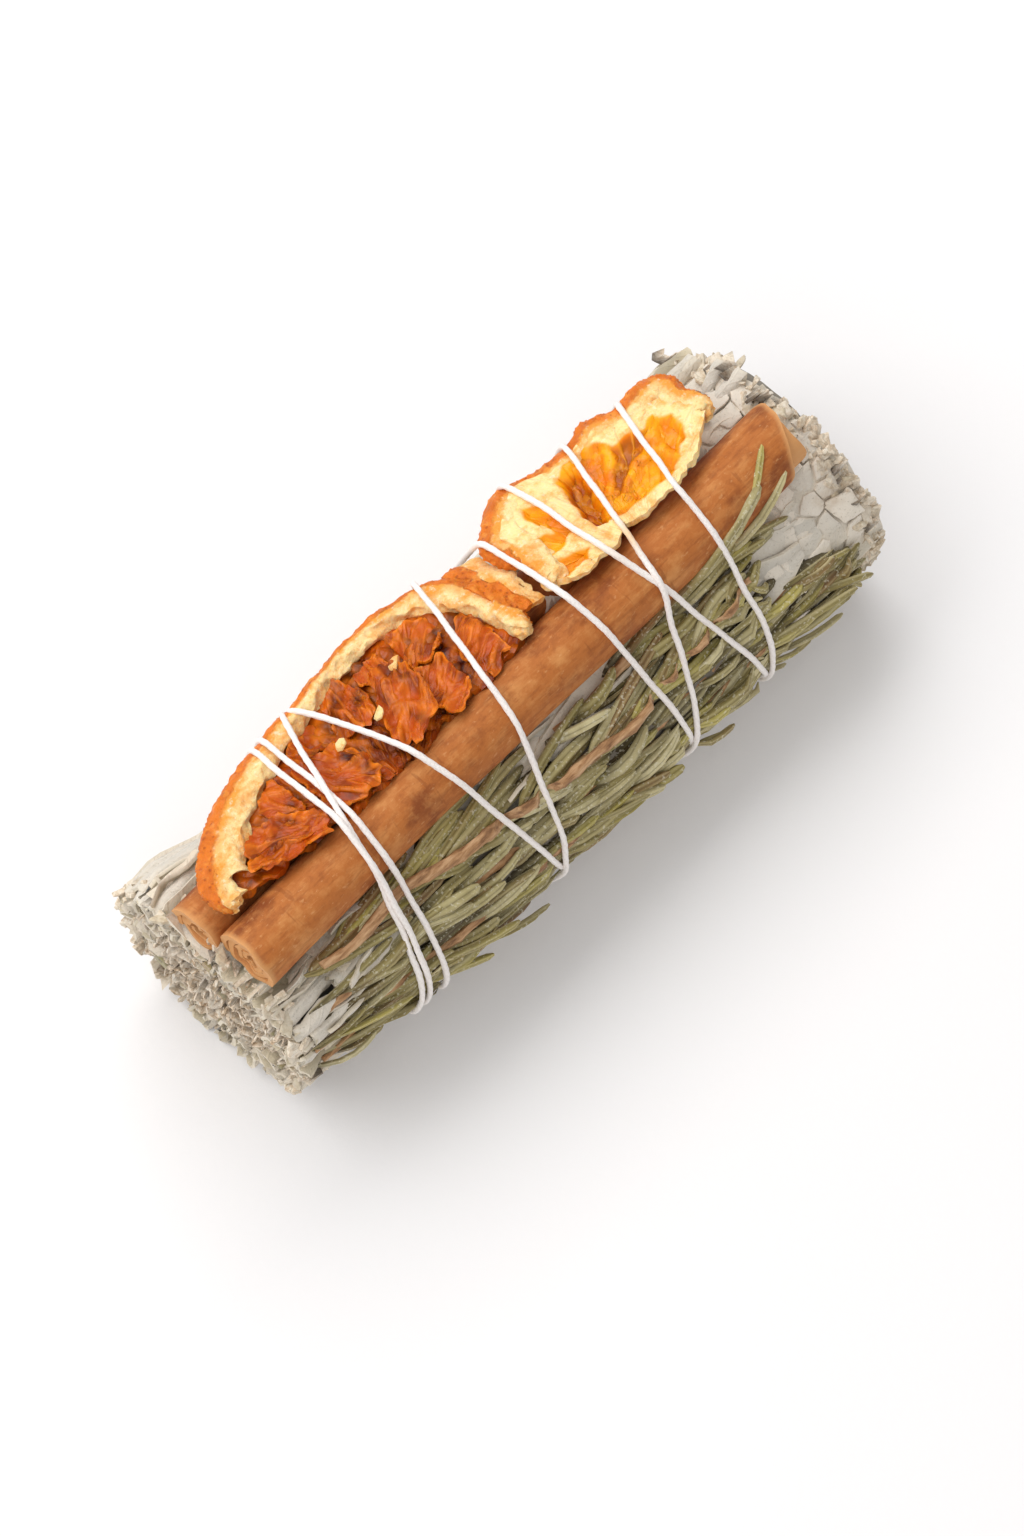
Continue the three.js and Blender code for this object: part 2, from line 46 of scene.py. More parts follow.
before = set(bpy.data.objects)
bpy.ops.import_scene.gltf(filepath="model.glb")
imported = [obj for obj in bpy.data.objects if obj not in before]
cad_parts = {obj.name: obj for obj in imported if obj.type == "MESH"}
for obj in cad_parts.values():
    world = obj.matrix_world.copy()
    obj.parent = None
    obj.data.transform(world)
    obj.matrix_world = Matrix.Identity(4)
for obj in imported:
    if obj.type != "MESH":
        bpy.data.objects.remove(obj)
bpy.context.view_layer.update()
MM = 0.001

# Bundle of sage
NEAR_END = -50.5
FAR_END = 50.0
NEAR_RADIUS = 16.4
FAR_RADIUS = 18.3
AXIS_HEIGHT = 16.2
NEAR_END_SLOPE = -0.4
FAR_END_SLOPE = 1.8
MIDDLE_RADIUS = 6.9
RING_SPRIGS = ("top", "back_upper", "back_lower", "bottom", "front_lower", "front_upper")
SECTOR = 360 / len(RING_SPRIGS)
# half the angle that a ring sprig's core spans, and how far its stem lies from the axis
CORE_HALF_ANGLE = 31
STEM_RING = 11.3
FLOOR_GAP = 0.06
# points below this height are pressed together over the floor
PRESS_HEIGHT = 1.2
# chance that a folded leaf is a ridge and not a trough
RIDGE_SHARE = 0.6
# lines of leaf on a cut end: tries at starting one, and the length of a step along it
FOLD_TRIES = 900
FOLD_STEP = 0.6
# broken plates of leaf: the smallest that is kept, and how far each draws back from its neighbours
SMALLEST_PLATE = 1.2
PLATE_GAP = 0.13
# more folded leaves on some ring sprigs: where they start along and round the bundle, and how many
LOOSE_FOLDS = {
    4: ((-49, -38, -112, -90, 5), (-20, 20, -150, -115, 8)),
    5: ((-49, -38, -88, -30, 14), (-22, 2, -39, -27, 4)),
}

# Cinnamon quills: centre, radius, ends, where the bark's outer edge lies, its turns and how much it widens
FRONT_QUILL = {
    "y": -5.25, "z": 35.8, "radius": 4.2, "from": -49.3, "to": 44.3, "seam": 325, "turns": 3.1, "flare": 0.7,
}
BACK_QUILL = {
    "y": 2.6, "z": 33.5, "radius": 3.7, "from": -50.2, "to": 33.0, "seam": 320, "turns": 2.7, "flare": 0,
}
QUILL_CLEARANCE = 0.3

# Orange slices: half discs on a drape over the quills and down the back
DRAPE = ((-2.6, 41.0), (0.8, 40.1), (4.4, 38.9), (9.0, 36.6), (13.6, 32.4), (16.9, 26.8))
DRAPE_STIFFNESS = 0.006
NEAR_SLICE = {
    "x": -21.7, "middle": (0.0, 0.0), "lift": 0.0, "valley": 0.0, "valley_at": 0.0, "bulge": (0.2, 0.4),
    # where a loose strip of rind lies beside the slice, and how deep it reaches
    "flap": (23.5, 29.5, 12.5),
    # round the rind from its near tip to its far one: along, down and the width of the rind
    "edge": (
        (-23.8, 1.0, 2.6), (-25.8, 2.4, 4.8), (-26.4, 5.4, 6.3), (-24.3, 8.8, 6.0), (-20.7, 11.4, 5.3),
        (-16.2, 13.6, 4.5), (-8.7, 15.2, 3.5), (-2.1, 15.8, 2.5), (4.5, 17.0, 2.1), (11.0, 18.0, 2.4),
        (16.5, 17.0, 2.4), (20.2, 16.4, 3.6), (23.7, 13.0, 4.0), (25.2, 6.4, 3.2), (25.4, 2.4, 3.1),
        (24.0, -0.2, 2.2),
    ),
}
FAR_SLICE = {
    "x": 23.4, "middle": (-3.3, 1.3), "lift": 0.9, "valley": 1.2, "valley_at": -3.4, "bulge": (1.7, 3.0),
    "flap": (0, 0, 0),
    "edge": (
        (-15.9, 1.6, 2.4), (-15.5, 4.0, 3.4), (-15.4, 6.2, 4.2), (-16.8, 8.6, 5.4), (-17.1, 11.6, 5.6),
        (-15.2, 13.8, 5.2), (-10.4, 16.8, 4.6), (-6.0, 17.7, 4.0), (-2.2, 15.8, 3.2), (1.8, 14.7, 3.0),
        (4.6, 15.0, 3.2), (8.2, 13.1, 3.0), (11.4, 13.2, 3.6), (14.8, 12.8, 4.2), (16.4, 10.6, 4.2),
        (15.8, 8.4, 3.6), (16.6, 5.6, 3.4), (15.6, 3.2, 2.6),
    ),
}

# Torn plates of the near slice's flesh: height, and corners along and down
NEAR_PLATES = (
    (0.2, (6.6, 13.6), (10.6, 14.2), (10.4, 10.0), (8.1, 9.6), (6.0, 11.2)),
    (0.4, (1.0, 13.6), (4.9, 15.2), (6.0, 9.6), (3.0, 6.0), (-0.6, 8.6)),
    (0.2, (12.6, 13.6), (18.0, 13.0), (17.8, 9.6), (13.8, 6.8), (11.6, 8.0)),
    (0.3, (-14.0, 9.2), (-9.8, 10.8), (-9.8, 5.8), (-10.3, 2.6), (-13.6, 5.0)),
    (0.5, (20.8, 9.4), (21.4, 4.0), (21.0, 0.6), (17.0, 0.0), (16.4, 4.4), (18.0, 7.6)),
    (0.7, (-17.6, 7.0), (-13.0, 6.2), (-9.2, 2.4), (-10.6, -0.5), (-18.6, 1.6), (-20.6, 3.6)),
    (0.8, (-7.2, 9.2), (-2.2, 7.6), (-1.2, 3.6), (-0.6, 0.6), (-4.5, 0.0), (-8.6, 1.8), (-8.8, 5.6)),
    (0.8, (11.4, 7.0), (15.0, 6.2), (14.2, 0.0), (10.6, -1.0), (9.2, 2.6)),
    (1.4, (7.4, 10.6), (11.4, 8.6), (9.6, 1.2), (3.8, -0.7), (2.8, 2.4), (5.0, 6.9)),
    (-0.2, (-6.4, 12.6), (-1.4, 13.0), (-1.6, 8.2), (-6.8, 8.8)),
)
# Hollow cells of the far slice's flesh: depth, brightness of the painted glow in each (the darkest also get
# painted shade), and corners along and down
FAR_CELLS = (
    (0.9, 1.0, (-9.2, 12.2), (-7.3, 11.0), (-8.0, 8.4), (-9.8, 8.6), (-10.4, 10.8)),
    (0.7, 0.35, (-8.9, 8.4), (-7.6, 7.8), (-7.6, 5.4), (-9.0, 5.2), (-9.6, 7.6)),
    (0.8, 1.0, (-13.6, 8.2), (-10.6, 7.4), (-8.6, 5.2), (-10.6, 4.3), (-12.6, 4.5), (-14.8, 5.9)),
    (0.9, 0.8, (-15.0, 3.1), (-13.0, 3.5), (-10.8, 2.9), (-8.6, 1.9), (-9.8, 0.7), (-12.6, 1.2),
     (-14.6, 2.0)),
    (1.5, 0.0, (-2.9, 12.3), (-1.0, 12.0), (-0.9, 10.4), (-1.9, 7.2), (-3.0, 4.8), (-4.1, 3.0),
     (-5.6, 3.8), (-5.6, 5.8), (-5.0, 8.4)),
    (0.5, 0.4, (0.4, 13.4), (3.5, 10.9), (1.6, 8.8), (-1.5, 5.8), (-1.7, 7.2), (-0.4, 10.6)),
    (0.6, 0.15, (4.0, 9.6), (8.4, 8.0), (6.0, 6.6), (3.8, 6.1), (-0.6, 4.2), (-1.3, 4.9)),
    (0.5, 0.65, (4.2, 5.6), (7.4, 4.7), (6.8, 3.3), (5.0, 2.7), (1.2, 3.4), (0.2, 4.0)),
    (0.5, 0.55, (10.0, 8.0), (11.4, 6.6), (11.0, 4.6), (10.2, 3.4), (8.4, 3.0), (8.0, 4.2), (8.6, 6.2)),
    (0.5, 1.0, (-0.2, 2.2), (2.4, 1.6), (5.2, 1.0), (6.4, 1.6), (5.6, 2.2), (2.8, 2.8), (0.4, 3.1)),
)
# The part of the far slice where only thin amber walls stand between the cells
FAR_AMBER = (
    (0.2, 13.6), (2.0, 12.4), (3.8, 11.0), (4.6, 9.4), (6.4, 8.4), (8.6, 8.4), (10.2, 8.7), (11.7, 6.8),
    (11.5, 4.8), (10.4, 3.2), (8.6, 2.4), (6.8, 1.4), (5.0, 0.7), (2.2, 1.1), (-0.6, 1.8), (-2.8, 2.6),
    (-4.4, 2.6), (-5.7, 4.2), (-5.8, 6.2), (-5.0, 8.4), (-4.4, 10.4), (-3.8, 12.0), (-2.4, 12.7),
    (-1.0, 13.0),
)

# Rosemary: each route is a list of (x, angle), from the cut foot to the tip
ROSEMARY_ROUTES = (
    ((-2, -36), (6, -37), (16, -35), (30, -32)),
    ((-43, -33.5), (-29, -36.5), (-12, -46.5), (5, -53), (20, -48), (29, -44)),
    ((-47, -51), (-33, -55), (-15, -62), (5, -69), (22, -65), (37, -61)),
    ((-49, -69), (-30, -74), (0, -85), (22, -82), (42, -78)),
    ((-48, -87), (-22, -92), (8, -101), (24, -99), (40, -95)),
)
STEM_HEIGHTS = (0.5, 2.9, 0.6, 0.9, 0.6)
# how far along the bundle the tips of each sprig's needles reach
NEEDLE_ENDS = ((35, 41), (27, 32), (40, 44), (42, 46), (42, 46))
# how far a needle's foot lies below the middle of its stem
NEEDLE_SINK = 0.9
LOOSE_NEEDLE_LENGTH = 15
# needles beside or over the front quill: sprig, x of the foot, angle of the tip, height and lift of the tip
LOOSE_NEEDLES = (
    (0, 17, -24, 4.6, 1.4), (0, 21, -21, 5.2, 1.2), (0, 24.5, -14, 6.4, 1.2), (0, 25, -24, 4.6, 1.4),
    (1, -41, -27.5, 1.0, 0.6), (1, -38, -29, 1.4, 0.2), (1, -35, -27, 0.8, 0.9), (1, -33, -30, 1.6, 0.2),
    (1, -30, -28, 1.0, 0.5), (1, -27, -29.5, 0.7, 0.6), (1, -25, -27.5, 1.2, 0.5), (1, -21, -31, 1.4, 0.2),
    (1, -12, -33, 1.2, 0.5), (1, 1, -36, 1.2, 0.6),
)
ROSEMARY_UPPER = -28.5
ROSEMARY_LOWER = -113.0

# Cotton string: where each turn passes the back edge, the top and the front edge
TURNS = (
    (-28.6, -29.4, -30.0), (-23.6, -19.0, -9.2), (6.8, 7.7, 14.0), (15.6, 15.5, 27.5), (39.0, 27.4, 28.4),
    (24.5, 19.0, 13.5), (2.2, -6.2, -9.6), (-24.4, -30.6, -34.6), (-30.3, -31.2, -33.0),
)
BACK_EDGE = 75
FRONT_EDGE = 100
KNOT_ANGLE = 100
KNOT_X = -29.4
# gap between the string and the floor
FLOOR_CLEARANCE = 0.2
# what the string lies on: how far leaves stand off, and round bars in place of slices and needles
LEAF_TOP = 0.8
SLICE_BAR = 1.35
NEEDLE_BAR = 0.9
NEEDLE_BAR_HEIGHT = 0.4
# where juice stained the string, and how far the stain reaches
JUICE_SPOT = (18.6, -2.6, 43)
JUICE_REACH = 2.2

# The photograph's view of the bundle, and the camera's lens and sensor
VIEW_AZIMUTH = -47.1
VIEW_ELEVATION = 68.0
VIEW_DISTANCE = 527.0
VIEW_TARGET = (-4.87, -6.05, 17.0)
LENS = 100
SENSOR = 36
# Studio lights: place and size in metres
KEY_PLACE, KEY_SIZE = (-0.06, 0.4, 0.68), (1.4, 0.45)
FILL_PLACE, FILL_SIZE = (-0.5, -0.35, 0.8), (1.1, 1.1)

MIDDLE_LOW, MIDDLE_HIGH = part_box("sage_sprig_middle")
QUILL_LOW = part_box("cinnamon_quill_front")[0]
ORIGIN = np.array([
    QUILL_LOW.x / MM - FRONT_QUILL["from"],
    (MIDDLE_LOW.y + MIDDLE_HIGH.y) / 2 / MM,
    (MIDDLE_LOW.z + MIDDLE_HIGH.z) / 2 / MM - AXIS_HEIGHT,
])


def paint(red, green, blue):
    """A colour as it shows on a screen, 0 to 255, as linear light."""
    shown = np.array([red, green, blue]) / 255
    return tuple(np.where(shown <= 0.04045, shown / 12.92, ((shown + 0.055) / 1.055) ** 2.4).tolist())


def colour_setting(name, description, shown):
    """A colour that a user can change."""
    return bpy.props.FloatVectorProperty(
        name=name, description=description, subtype="COLOR", size=3, min=0, max=1, default=paint(*shown))


def length_setting(name, description, millimetres):
    """A length that a user can change."""
    return bpy.props.FloatProperty(
        name=name, description=description, unit="LENGTH", min=0, precision=4, default=millimetres * MM)


def number_setting(name, description, number):
    """A number that a user can change."""
    return bpy.props.FloatProperty(name=name, description=description, min=0, default=number)


class SageSettings(bpy.types.PropertyGroup):
    """Sizes and colours of the pressed sage leaves."""

    leaf_length: length_setting("Leaf length", "Mean length of a pressed leaf", 40)
    leaf_width: length_setting("Leaf width", "Mean width of a pressed leaf", 10.5)
    leaf_thickness: length_setting("Leaf thickness", "Thickness of a felted leaf", 0.5)
    leaves: bpy.props.IntProperty(
        name="Leaves", description="Pressed leaves in each ring sprig", default=26, min=1)
    fold_spacing: length_setting("Fold spacing", "Distance between the folds on a cut end", 0.56)
    pale: colour_setting("Pale leaf", "Felted upper side of a leaf", (232, 221, 205))
    grey: colour_setting("Grey leaf", "Blue-grey leaves", (194, 188, 176))
    olive: colour_setting("Olive leaf", "Leaves that kept some green", (158, 148, 108))
    brown: colour_setting("Brown leaf", "Leaves that turned brown", (172, 142, 106))
    # Painted shade: the dark colour painted deep between the leaves, on the inner shells and on cut faces.
    shade: colour_setting("Between leaves", "What shows deep between the leaves", (52, 38, 24))


class QuillSettings(bpy.types.PropertyGroup):
    """Sizes and colours of the cinnamon quills."""

    wall: length_setting("Bark thickness", "Thickness of the rolled bark", 0.85)
    pitch: length_setting("Scroll pitch", "Distance between the turns of the scroll", 0.93)
    mid: colour_setting("Bark", "Main colour of the bark", (180, 106, 48))
    light: colour_setting("Light bark", "Light blotches and flecks", (210, 146, 84))
    dark: colour_setting("Dark bark", "Reddish dark streaks", (136, 70, 28))
    inside: colour_setting("Inside of the bark", "Inner side and broken edges", (212, 160, 108))


class OrangeSettings(bpy.types.PropertyGroup):
    """Colours of the dried orange slices."""

    pith: colour_setting("Pith", "Cream pith", (253, 222, 158))
    pith_stain: colour_setting("Stained pith", "Pith stained by juice", (242, 160, 62))
    peel: colour_setting("Peel", "Dried peel", (230, 122, 22))
    peel_dark: colour_setting("Peel pores", "Dark pores of the peel", (166, 68, 12))
    near_dark: colour_setting("Dark flesh", "Shaded flesh of the near slice", (66, 15, 0))
    near_mid: colour_setting("Flesh", "Flesh of the near slice", (186, 76, 6))
    # Thin flesh is paler; this colour also paints the glow through thin flesh and the highlights on its
    # wrinkles.
    near_thin: colour_setting("Thin flesh", "Thin edges of the near slice's flesh", (232, 124, 24))
    far_dark: colour_setting("Amber shade", "Shaded flesh of the far slice", (150, 62, 6))
    far_mid: colour_setting("Amber flesh", "Flesh of the far slice", (226, 112, 2))
    # Thin flesh is paler; this colour also paints the glow through thin amber and the highlights on its
    # wrinkles.
    far_thin: colour_setting("Thin amber", "Thin flesh of the far slice", (252, 170, 20))


class RosemarySettings(bpy.types.PropertyGroup):
    """Sizes and colours of the rosemary sprigs."""

    needle_length: length_setting("Needle length", "Mean length of a needle", 14)
    needle_width: length_setting("Needle width", "Mean width of a needle", 1.4)
    spacing: length_setting("Needle spacing", "Distance between the needles along a stem", 1.15)
    stem_radius: length_setting("Stem radius", "Radius of a woody stem", 0.64)
    olive: colour_setting("Olive needle", "Most of the needles", (152, 138, 84))
    pale: colour_setting("Pale needle", "Felted undersides", (208, 196, 152))
    yellow: colour_setting("Yellow needle", "Needles that kept a bright green", (184, 170, 88))
    brown: colour_setting("Brown needle", "Needles that turned brown", (136, 102, 62))
    stem: colour_setting("Stem", "Woody stem", (172, 128, 86))


class StringSettings(bpy.types.PropertyGroup):
    """Sizes and colours of the cotton string."""

    radius: length_setting("String radius", "Radius of the twisted string", 0.41)
    twist: length_setting("Twist length", "Length of one turn of the twist", 5.0)
    cotton: colour_setting("Cotton", "Undyed cotton", (250, 243, 238))
    stain: colour_setting("Juice stain", "Where juice stained the cotton", (240, 190, 120))


class StageSettings(bpy.types.PropertyGroup):
    """Floor and light of the studio."""

    floor: colour_setting("Floor", "Colour of the plain floor", (240, 238, 238))
    floor_size: length_setting("Floor size", "Side of the floor", 3000)
    key: number_setting("Key light", "Power of the long soft light", 6.2)
    fill: number_setting("Fill light", "Power of the light beside the camera", 2.8)
    surround: number_setting("Surround", "Strength of the white studio", 0.5)


class Finish:
    """One procedural material: nodes are added from left to right and end in its shader."""

    def __init__(self, name, roughness, **sockets):
        self.material = bpy.data.materials.new(name)
        self.material.use_nodes = True
        self.tree = self.material.node_tree
        self.shader = self.tree.nodes["Principled BSDF"]
        self.shader.inputs["Roughness"].default_value = roughness
        for socket, value in sockets.items():
            self.shader.inputs[socket.replace("_", " ")].default_value = value
        self.place = self.tree.nodes.new("ShaderNodeTexCoord").outputs["Object"]

    def feed(self, socket, value):
        """Links a socket to another one, or sets it."""
        if isinstance(value, bpy.types.NodeSocket):
            self.tree.links.new(value, socket)
        elif hasattr(value, "__len__") and len(value) == 3 and socket.type == "RGBA":
            socket.default_value = (*value, 1)
        else:
            socket.default_value = value

    def value(self, name):
        """A number that each point of the piece carries."""
        node = self.tree.nodes.new("ShaderNodeAttribute")
        node.attribute_name = name
        return node.outputs["Fac"]

    def part(self, name, weight):
        """A number that each point carries, times a weight."""
        return self.math("MULTIPLY", self.value(name), weight)

    def stretched(self, along, across, upward):
        """Object coordinates scaled along each axis, so that grain runs along the bundle."""
        node = self.tree.nodes.new("ShaderNodeMapping")
        node.inputs["Scale"].default_value = (along, across, upward)
        self.feed(node.inputs["Vector"], self.place)
        return node.outputs["Vector"]

    def noise(self, size, detail=3.0, rough=0.55, place=None, distortion=0.0):
        """Soft noise with features of that size in millimetres."""
        node = self.tree.nodes.new("ShaderNodeTexNoise")
        node.inputs["Scale"].default_value = 1 / (size * MM)
        node.inputs["Detail"].default_value = detail
        node.inputs["Roughness"].default_value = rough
        node.inputs["Distortion"].default_value = distortion
        self.feed(node.inputs["Vector"], place or self.place)
        return node.outputs["Fac"]

    def crease(self, *noise):
        """How far a noise is from its middle value: zero along winding lines."""
        return self.math("ABSOLUTE", self.math("SUBTRACT", self.noise(*noise), 0.5))

    def cells(self, size):
        """Smooth distance in a pattern of cells of that size in millimetres."""
        node = self.tree.nodes.new("ShaderNodeTexVoronoi")
        node.feature = "SMOOTH_F1"
        node.inputs["Scale"].default_value = 1 / (size * MM)
        self.feed(node.inputs["Vector"], self.place)
        return node.outputs["Distance"]

    def math(self, operation, first, second=0.0, third=0.0):
        """One sum on numbers or sockets."""
        node = self.tree.nodes.new("ShaderNodeMath")
        node.operation = operation
        for socket, value in zip(node.inputs, (first, second, third)):
            self.feed(socket, value)
        return node.outputs[0]

    def step(self, value, low, high, to_low=0.0, to_high=1.0):
        """A smooth step of a number between two limits."""
        node = self.tree.nodes.new("ShaderNodeMapRange")
        node.interpolation_type = "SMOOTHSTEP"
        self.feed(node.inputs["Value"], value)
        limits = {"From Min": low, "From Max": high, "To Min": to_low, "To Max": to_high}
        for socket, limit in limits.items():
            node.inputs[socket].default_value = limit
        return node.outputs["Result"]

    def ramp(self, value, *stops):
        """Colours along a number, each stop a place and a colour."""
        node = self.tree.nodes.new("ShaderNodeValToRGB")
        elements = node.color_ramp.elements
        while len(elements) < len(stops):
            elements.new(0.5)
        for element, (place, colour) in zip(elements, stops):
            element.position = place
            element.color = (*colour, 1)
        self.feed(node.inputs["Fac"], value)
        return node.outputs["Color"]

    def mix(self, share, first, second):
        """Two colours mixed."""
        node = self.tree.nodes.new("ShaderNodeMix")
        node.data_type = "RGBA"
        node.clamp_factor = True
        self.feed(node.inputs[0], share)
        self.feed(node.inputs[6], first)
        self.feed(node.inputs[7], second)
        return node.outputs[2]

    def layers(self, colour, *layers):
        """A colour with tones laid over it, each by a smooth step: tone, number, two limits, two shares."""
        for tone, value, *limits in layers:
            colour = self.mix(self.step(value, *limits), colour, tone)
        return colour

    def bump(self, height, depth, strength=1.0, under=None):
        """Relief of that depth in millimetres."""
        node = self.tree.nodes.new("ShaderNodeBump")
        node.inputs["Strength"].default_value = strength
        node.inputs["Distance"].default_value = depth * MM
        self.feed(node.inputs["Height"], height)
        if under is not None:
            self.feed(node.inputs["Normal"], under)
        return node.outputs["Normal"]

    def done(self, colour, normal, roughness=None):
        """Joins colour, relief and roughness to the shader and gives the material."""
        self.feed(self.shader.inputs["Base Color"], colour)
        self.feed(self.shader.inputs["Normal"], normal)
        if roughness is not None:
            self.feed(self.shader.inputs["Roughness"], roughness)
        return self.material


class Shape:
    """Points in millimetres, faces and the numbers that each point carries."""

    def __init__(self, points, faces, **values):
        self.points = np.asarray(points, float)
        self.faces = faces
        self.values = {name: np.broadcast_to(value, len(self.points)) for name, value in values.items()}


class SheetForm:
    """A grid with a wall, read as unit coordinates: across -1 to 1, along 0 to 1, and outer 0 or 1."""

    def __init__(self, columns, rows):
        bpy.ops.object.select_all(action="DESELECT")
        bpy.ops.mesh.primitive_grid_add(x_subdivisions=columns, y_subdivisions=rows, size=2)
        grid = bpy.context.object
        wall = grid.modifiers.new("Wall", "SOLIDIFY")
        wall.thickness = 1
        bpy.ops.object.modifier_apply(modifier=wall.name)
        corners = np.zeros(3 * len(grid.data.vertices))
        grid.data.vertices.foreach_get("co", corners)
        corners = corners.reshape(-1, 3)
        self.across = corners[:, 0]
        self.along = (corners[:, 1] + 1) / 2
        self.outer = corners[:, 2] + 1
        self.faces = [tuple(face.vertices) for face in grid.data.polygons]
        mesh = grid.data
        bpy.data.objects.remove(grid)
        bpy.data.meshes.remove(mesh)


def unit(vectors):
    """Vectors of length one."""
    return vectors / np.maximum(np.linalg.norm(vectors, axis=-1, keepdims=True), 1e-12)


def circle(count):
    """Angles evenly spaced round a circle, in radians."""
    return np.linspace(0, 2 * np.pi, count, endpoint=False)


def flat_points(first, second):
    """Places on a plane, for waves and ridges."""
    return np.stack([first, second, 0 * first], -1)


def run_along(points):
    """The distance of each point along the line that they make."""
    return np.concatenate([[0], np.cumsum(np.linalg.norm(np.diff(points, axis=0), axis=1))])


def read_line(at, run, line):
    """A line's points at distances along it."""
    return np.stack([np.interp(at, run, column) for column in line.T], -1)


def smooth_line(knots, steps):
    """A smooth line through knots, with that many steps from each knot to the next."""
    knots = np.concatenate([[2 * knots[0] - knots[1]], knots, [2 * knots[-1] - knots[-2]]])
    share = np.linspace(0, 1, steps, endpoint=False)[:, None]
    parts = []
    for a, b, c, d in zip(knots, knots[1:], knots[2:], knots[3:]):
        bend = 2 * b + (c - a) * share + (2 * a - 5 * b + 4 * c - d) * share ** 2
        parts.append(0.5 * (bend + (3 * b - a - 3 * c + d) * share ** 3))
    return np.concatenate(parts + [knots[-2:-1]])


def outline_points(corners, steps):
    """Points round an outline, with that many steps on each side."""
    share = np.linspace(0, 1, steps, endpoint=False)[:, None]
    return np.concatenate([a + (b - a) * share for a, b in zip(corners, np.roll(corners, -1, axis=0))])


def waves(points, size, seed, count=9):
    """A smooth random field from about -1 to 1, with features of that size in millimetres."""
    random = np.random.default_rng(seed)
    directions = unit(random.normal(size=(count, 3)))
    directions *= (2 * np.pi / size) * random.uniform(0.6, 1.5, (count, 1))
    phases = random.uniform(0, 2 * np.pi, count)
    return np.sin(points @ directions.T + phases).sum(1) / math.sqrt(count) / 1.1


def ridges(points, size, seed):
    """Sharp creases from 0 to 1, with features of that size in millimetres."""
    return np.clip(1 - np.abs(waves(points, size, seed)) * 1.4, 0, 1) ** 2


def smooth(value, low, high):
    """A smooth step from 0 to 1."""
    share = np.clip((value - low) / (high - low), 0, 1)
    return share * share * (3 - 2 * share)


def wall_sheet(form, surface, thickness, **values):
    """A sheet on a surface of across and along coordinates. A value may be a function of the two."""
    step = 1e-3
    across, along = form.across, form.along
    middle = surface(across, along)
    sideways = surface(across + step, along) - surface(across - step, along)
    onward = surface(across, along + step) - surface(across, along - step)
    normal = unit(np.cross(sideways, onward))
    wall = thickness(across, along) if callable(thickness) else thickness
    points = middle + normal * ((form.outer - 0.5) * wall)[:, None]
    carried = {name: value(across, along) if callable(value) else value for name, value in values.items()}
    return Shape(points, form.faces, **carried)


def loft(rings, **values):
    """A closed body through rings of points, with both ends capped."""
    count, sides = rings.shape[:2]
    rows = np.arange(count - 1)[:, None] * sides
    here = np.arange(sides)[None, :]
    after = (here + 1) % sides
    quads = np.stack([rows + here, rows + after, rows + sides + after, rows + sides + here], -1)
    quads = quads.reshape(-1, 4)
    first, last = count * sides, count * sides + 1
    end = (count - 1) * sides
    caps = [(first, (i + 1) % sides, i) for i in range(sides)]
    caps += [(last, end + i, end + (i + 1) % sides) for i in range(sides)]
    points = np.concatenate([rings.reshape(-1, 3), [rings[0].mean(0), rings[-1].mean(0)]])
    corners = points - points.mean(0)
    a, b, c, d = (corners[quads[:, i]] for i in range(4))
    volume = (np.cross(a, b) * c).sum() + (np.cross(a, c) * d).sum()
    faces = [tuple(q) for q in quads.tolist()] + caps
    if volume < 0:
        faces = [face[::-1] for face in faces]
    carried = {}
    for name, value in values.items():
        body = np.broadcast_to(value, (count, sides))
        carried[name] = np.concatenate([body.ravel(), [body[0].mean(), body[-1].mean()]])
    return Shape(points, faces, **carried)


def settle(points):
    """Points that would go through the floor are flattened against it."""
    height = points[:, 2]
    room = PRESS_HEIGHT - FLOOR_GAP
    pressed = FLOOR_GAP + room * np.exp((height - PRESS_HEIGHT) / room)
    points[:, 2] = np.where(height < PRESS_HEIGHT, pressed, height)
    return points


def make_piece(name, shapes, material, slot, *nodes):
    """Joins shapes into one piece that stands for the CAD nodes."""
    starts = np.cumsum([0] + [len(shape.points) for shape in shapes])
    points = settle(np.concatenate([shape.points for shape in shapes]))
    faces = []
    for shape, start in zip(shapes, starts.tolist()):
        faces += [[i + start for i in face] for face in shape.faces]
    mesh = bpy.data.meshes.new(name)
    mesh.from_pydata(((points + ORIGIN) * MM).tolist(), [], faces)
    for value in sorted({value for shape in shapes for value in shape.values}):
        parts = [shape.values.get(value, np.zeros(len(shape.points))) for shape in shapes]
        layer = mesh.attributes.new(value, "FLOAT", "POINT")
        layer.data.foreach_set("value", np.concatenate(parts).astype(np.float32))
    if mesh.validate():
        raise RuntimeError(f"{name} has faces that are not valid")
    mesh.materials.append(material)
    piece = bpy.data.objects.new(name, mesh)
    bpy.context.scene.collection.objects.link(piece)
    bpy.ops.object.select_all(action="DESELECT")
    piece.select_set(True)
    bpy.context.view_layer.objects.active = piece
    bpy.ops.object.shade_smooth_by_angle(angle=math.radians(50))
    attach(piece, "root")
    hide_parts(*nodes)


def bundle_radius(x):
    """Radius of the sage at one place along the bundle."""
    along = np.asarray(x, float) - NEAR_END
    return NEAR_RADIUS + (FAR_RADIUS - NEAR_RADIUS) * along / (FAR_END - NEAR_END)


def polar(x, degrees, radius):
    """Points by their place along the bundle, their angle and their distance from its axis."""
    turn = np.radians(degrees)
    return np.stack(np.broadcast_arrays(x, radius * np.sin(turn), AXIS_HEIGHT + radius * np.cos(turn)), -1)


def on_bundle(x, degrees, height):
    """Points at a height over the surface of the bundle."""
    return polar(x, degrees, bundle_radius(x) + height)


def outward_at(degrees):
    """The way out from the bundle's axis at an angle."""
    return unit(polar(0, degrees, 1.0) - (0, 0, AXIS_HEIGHT))


def end_way(is_far):
    """Which way an end faces along the bundle."""
    return 1 if is_far else -1


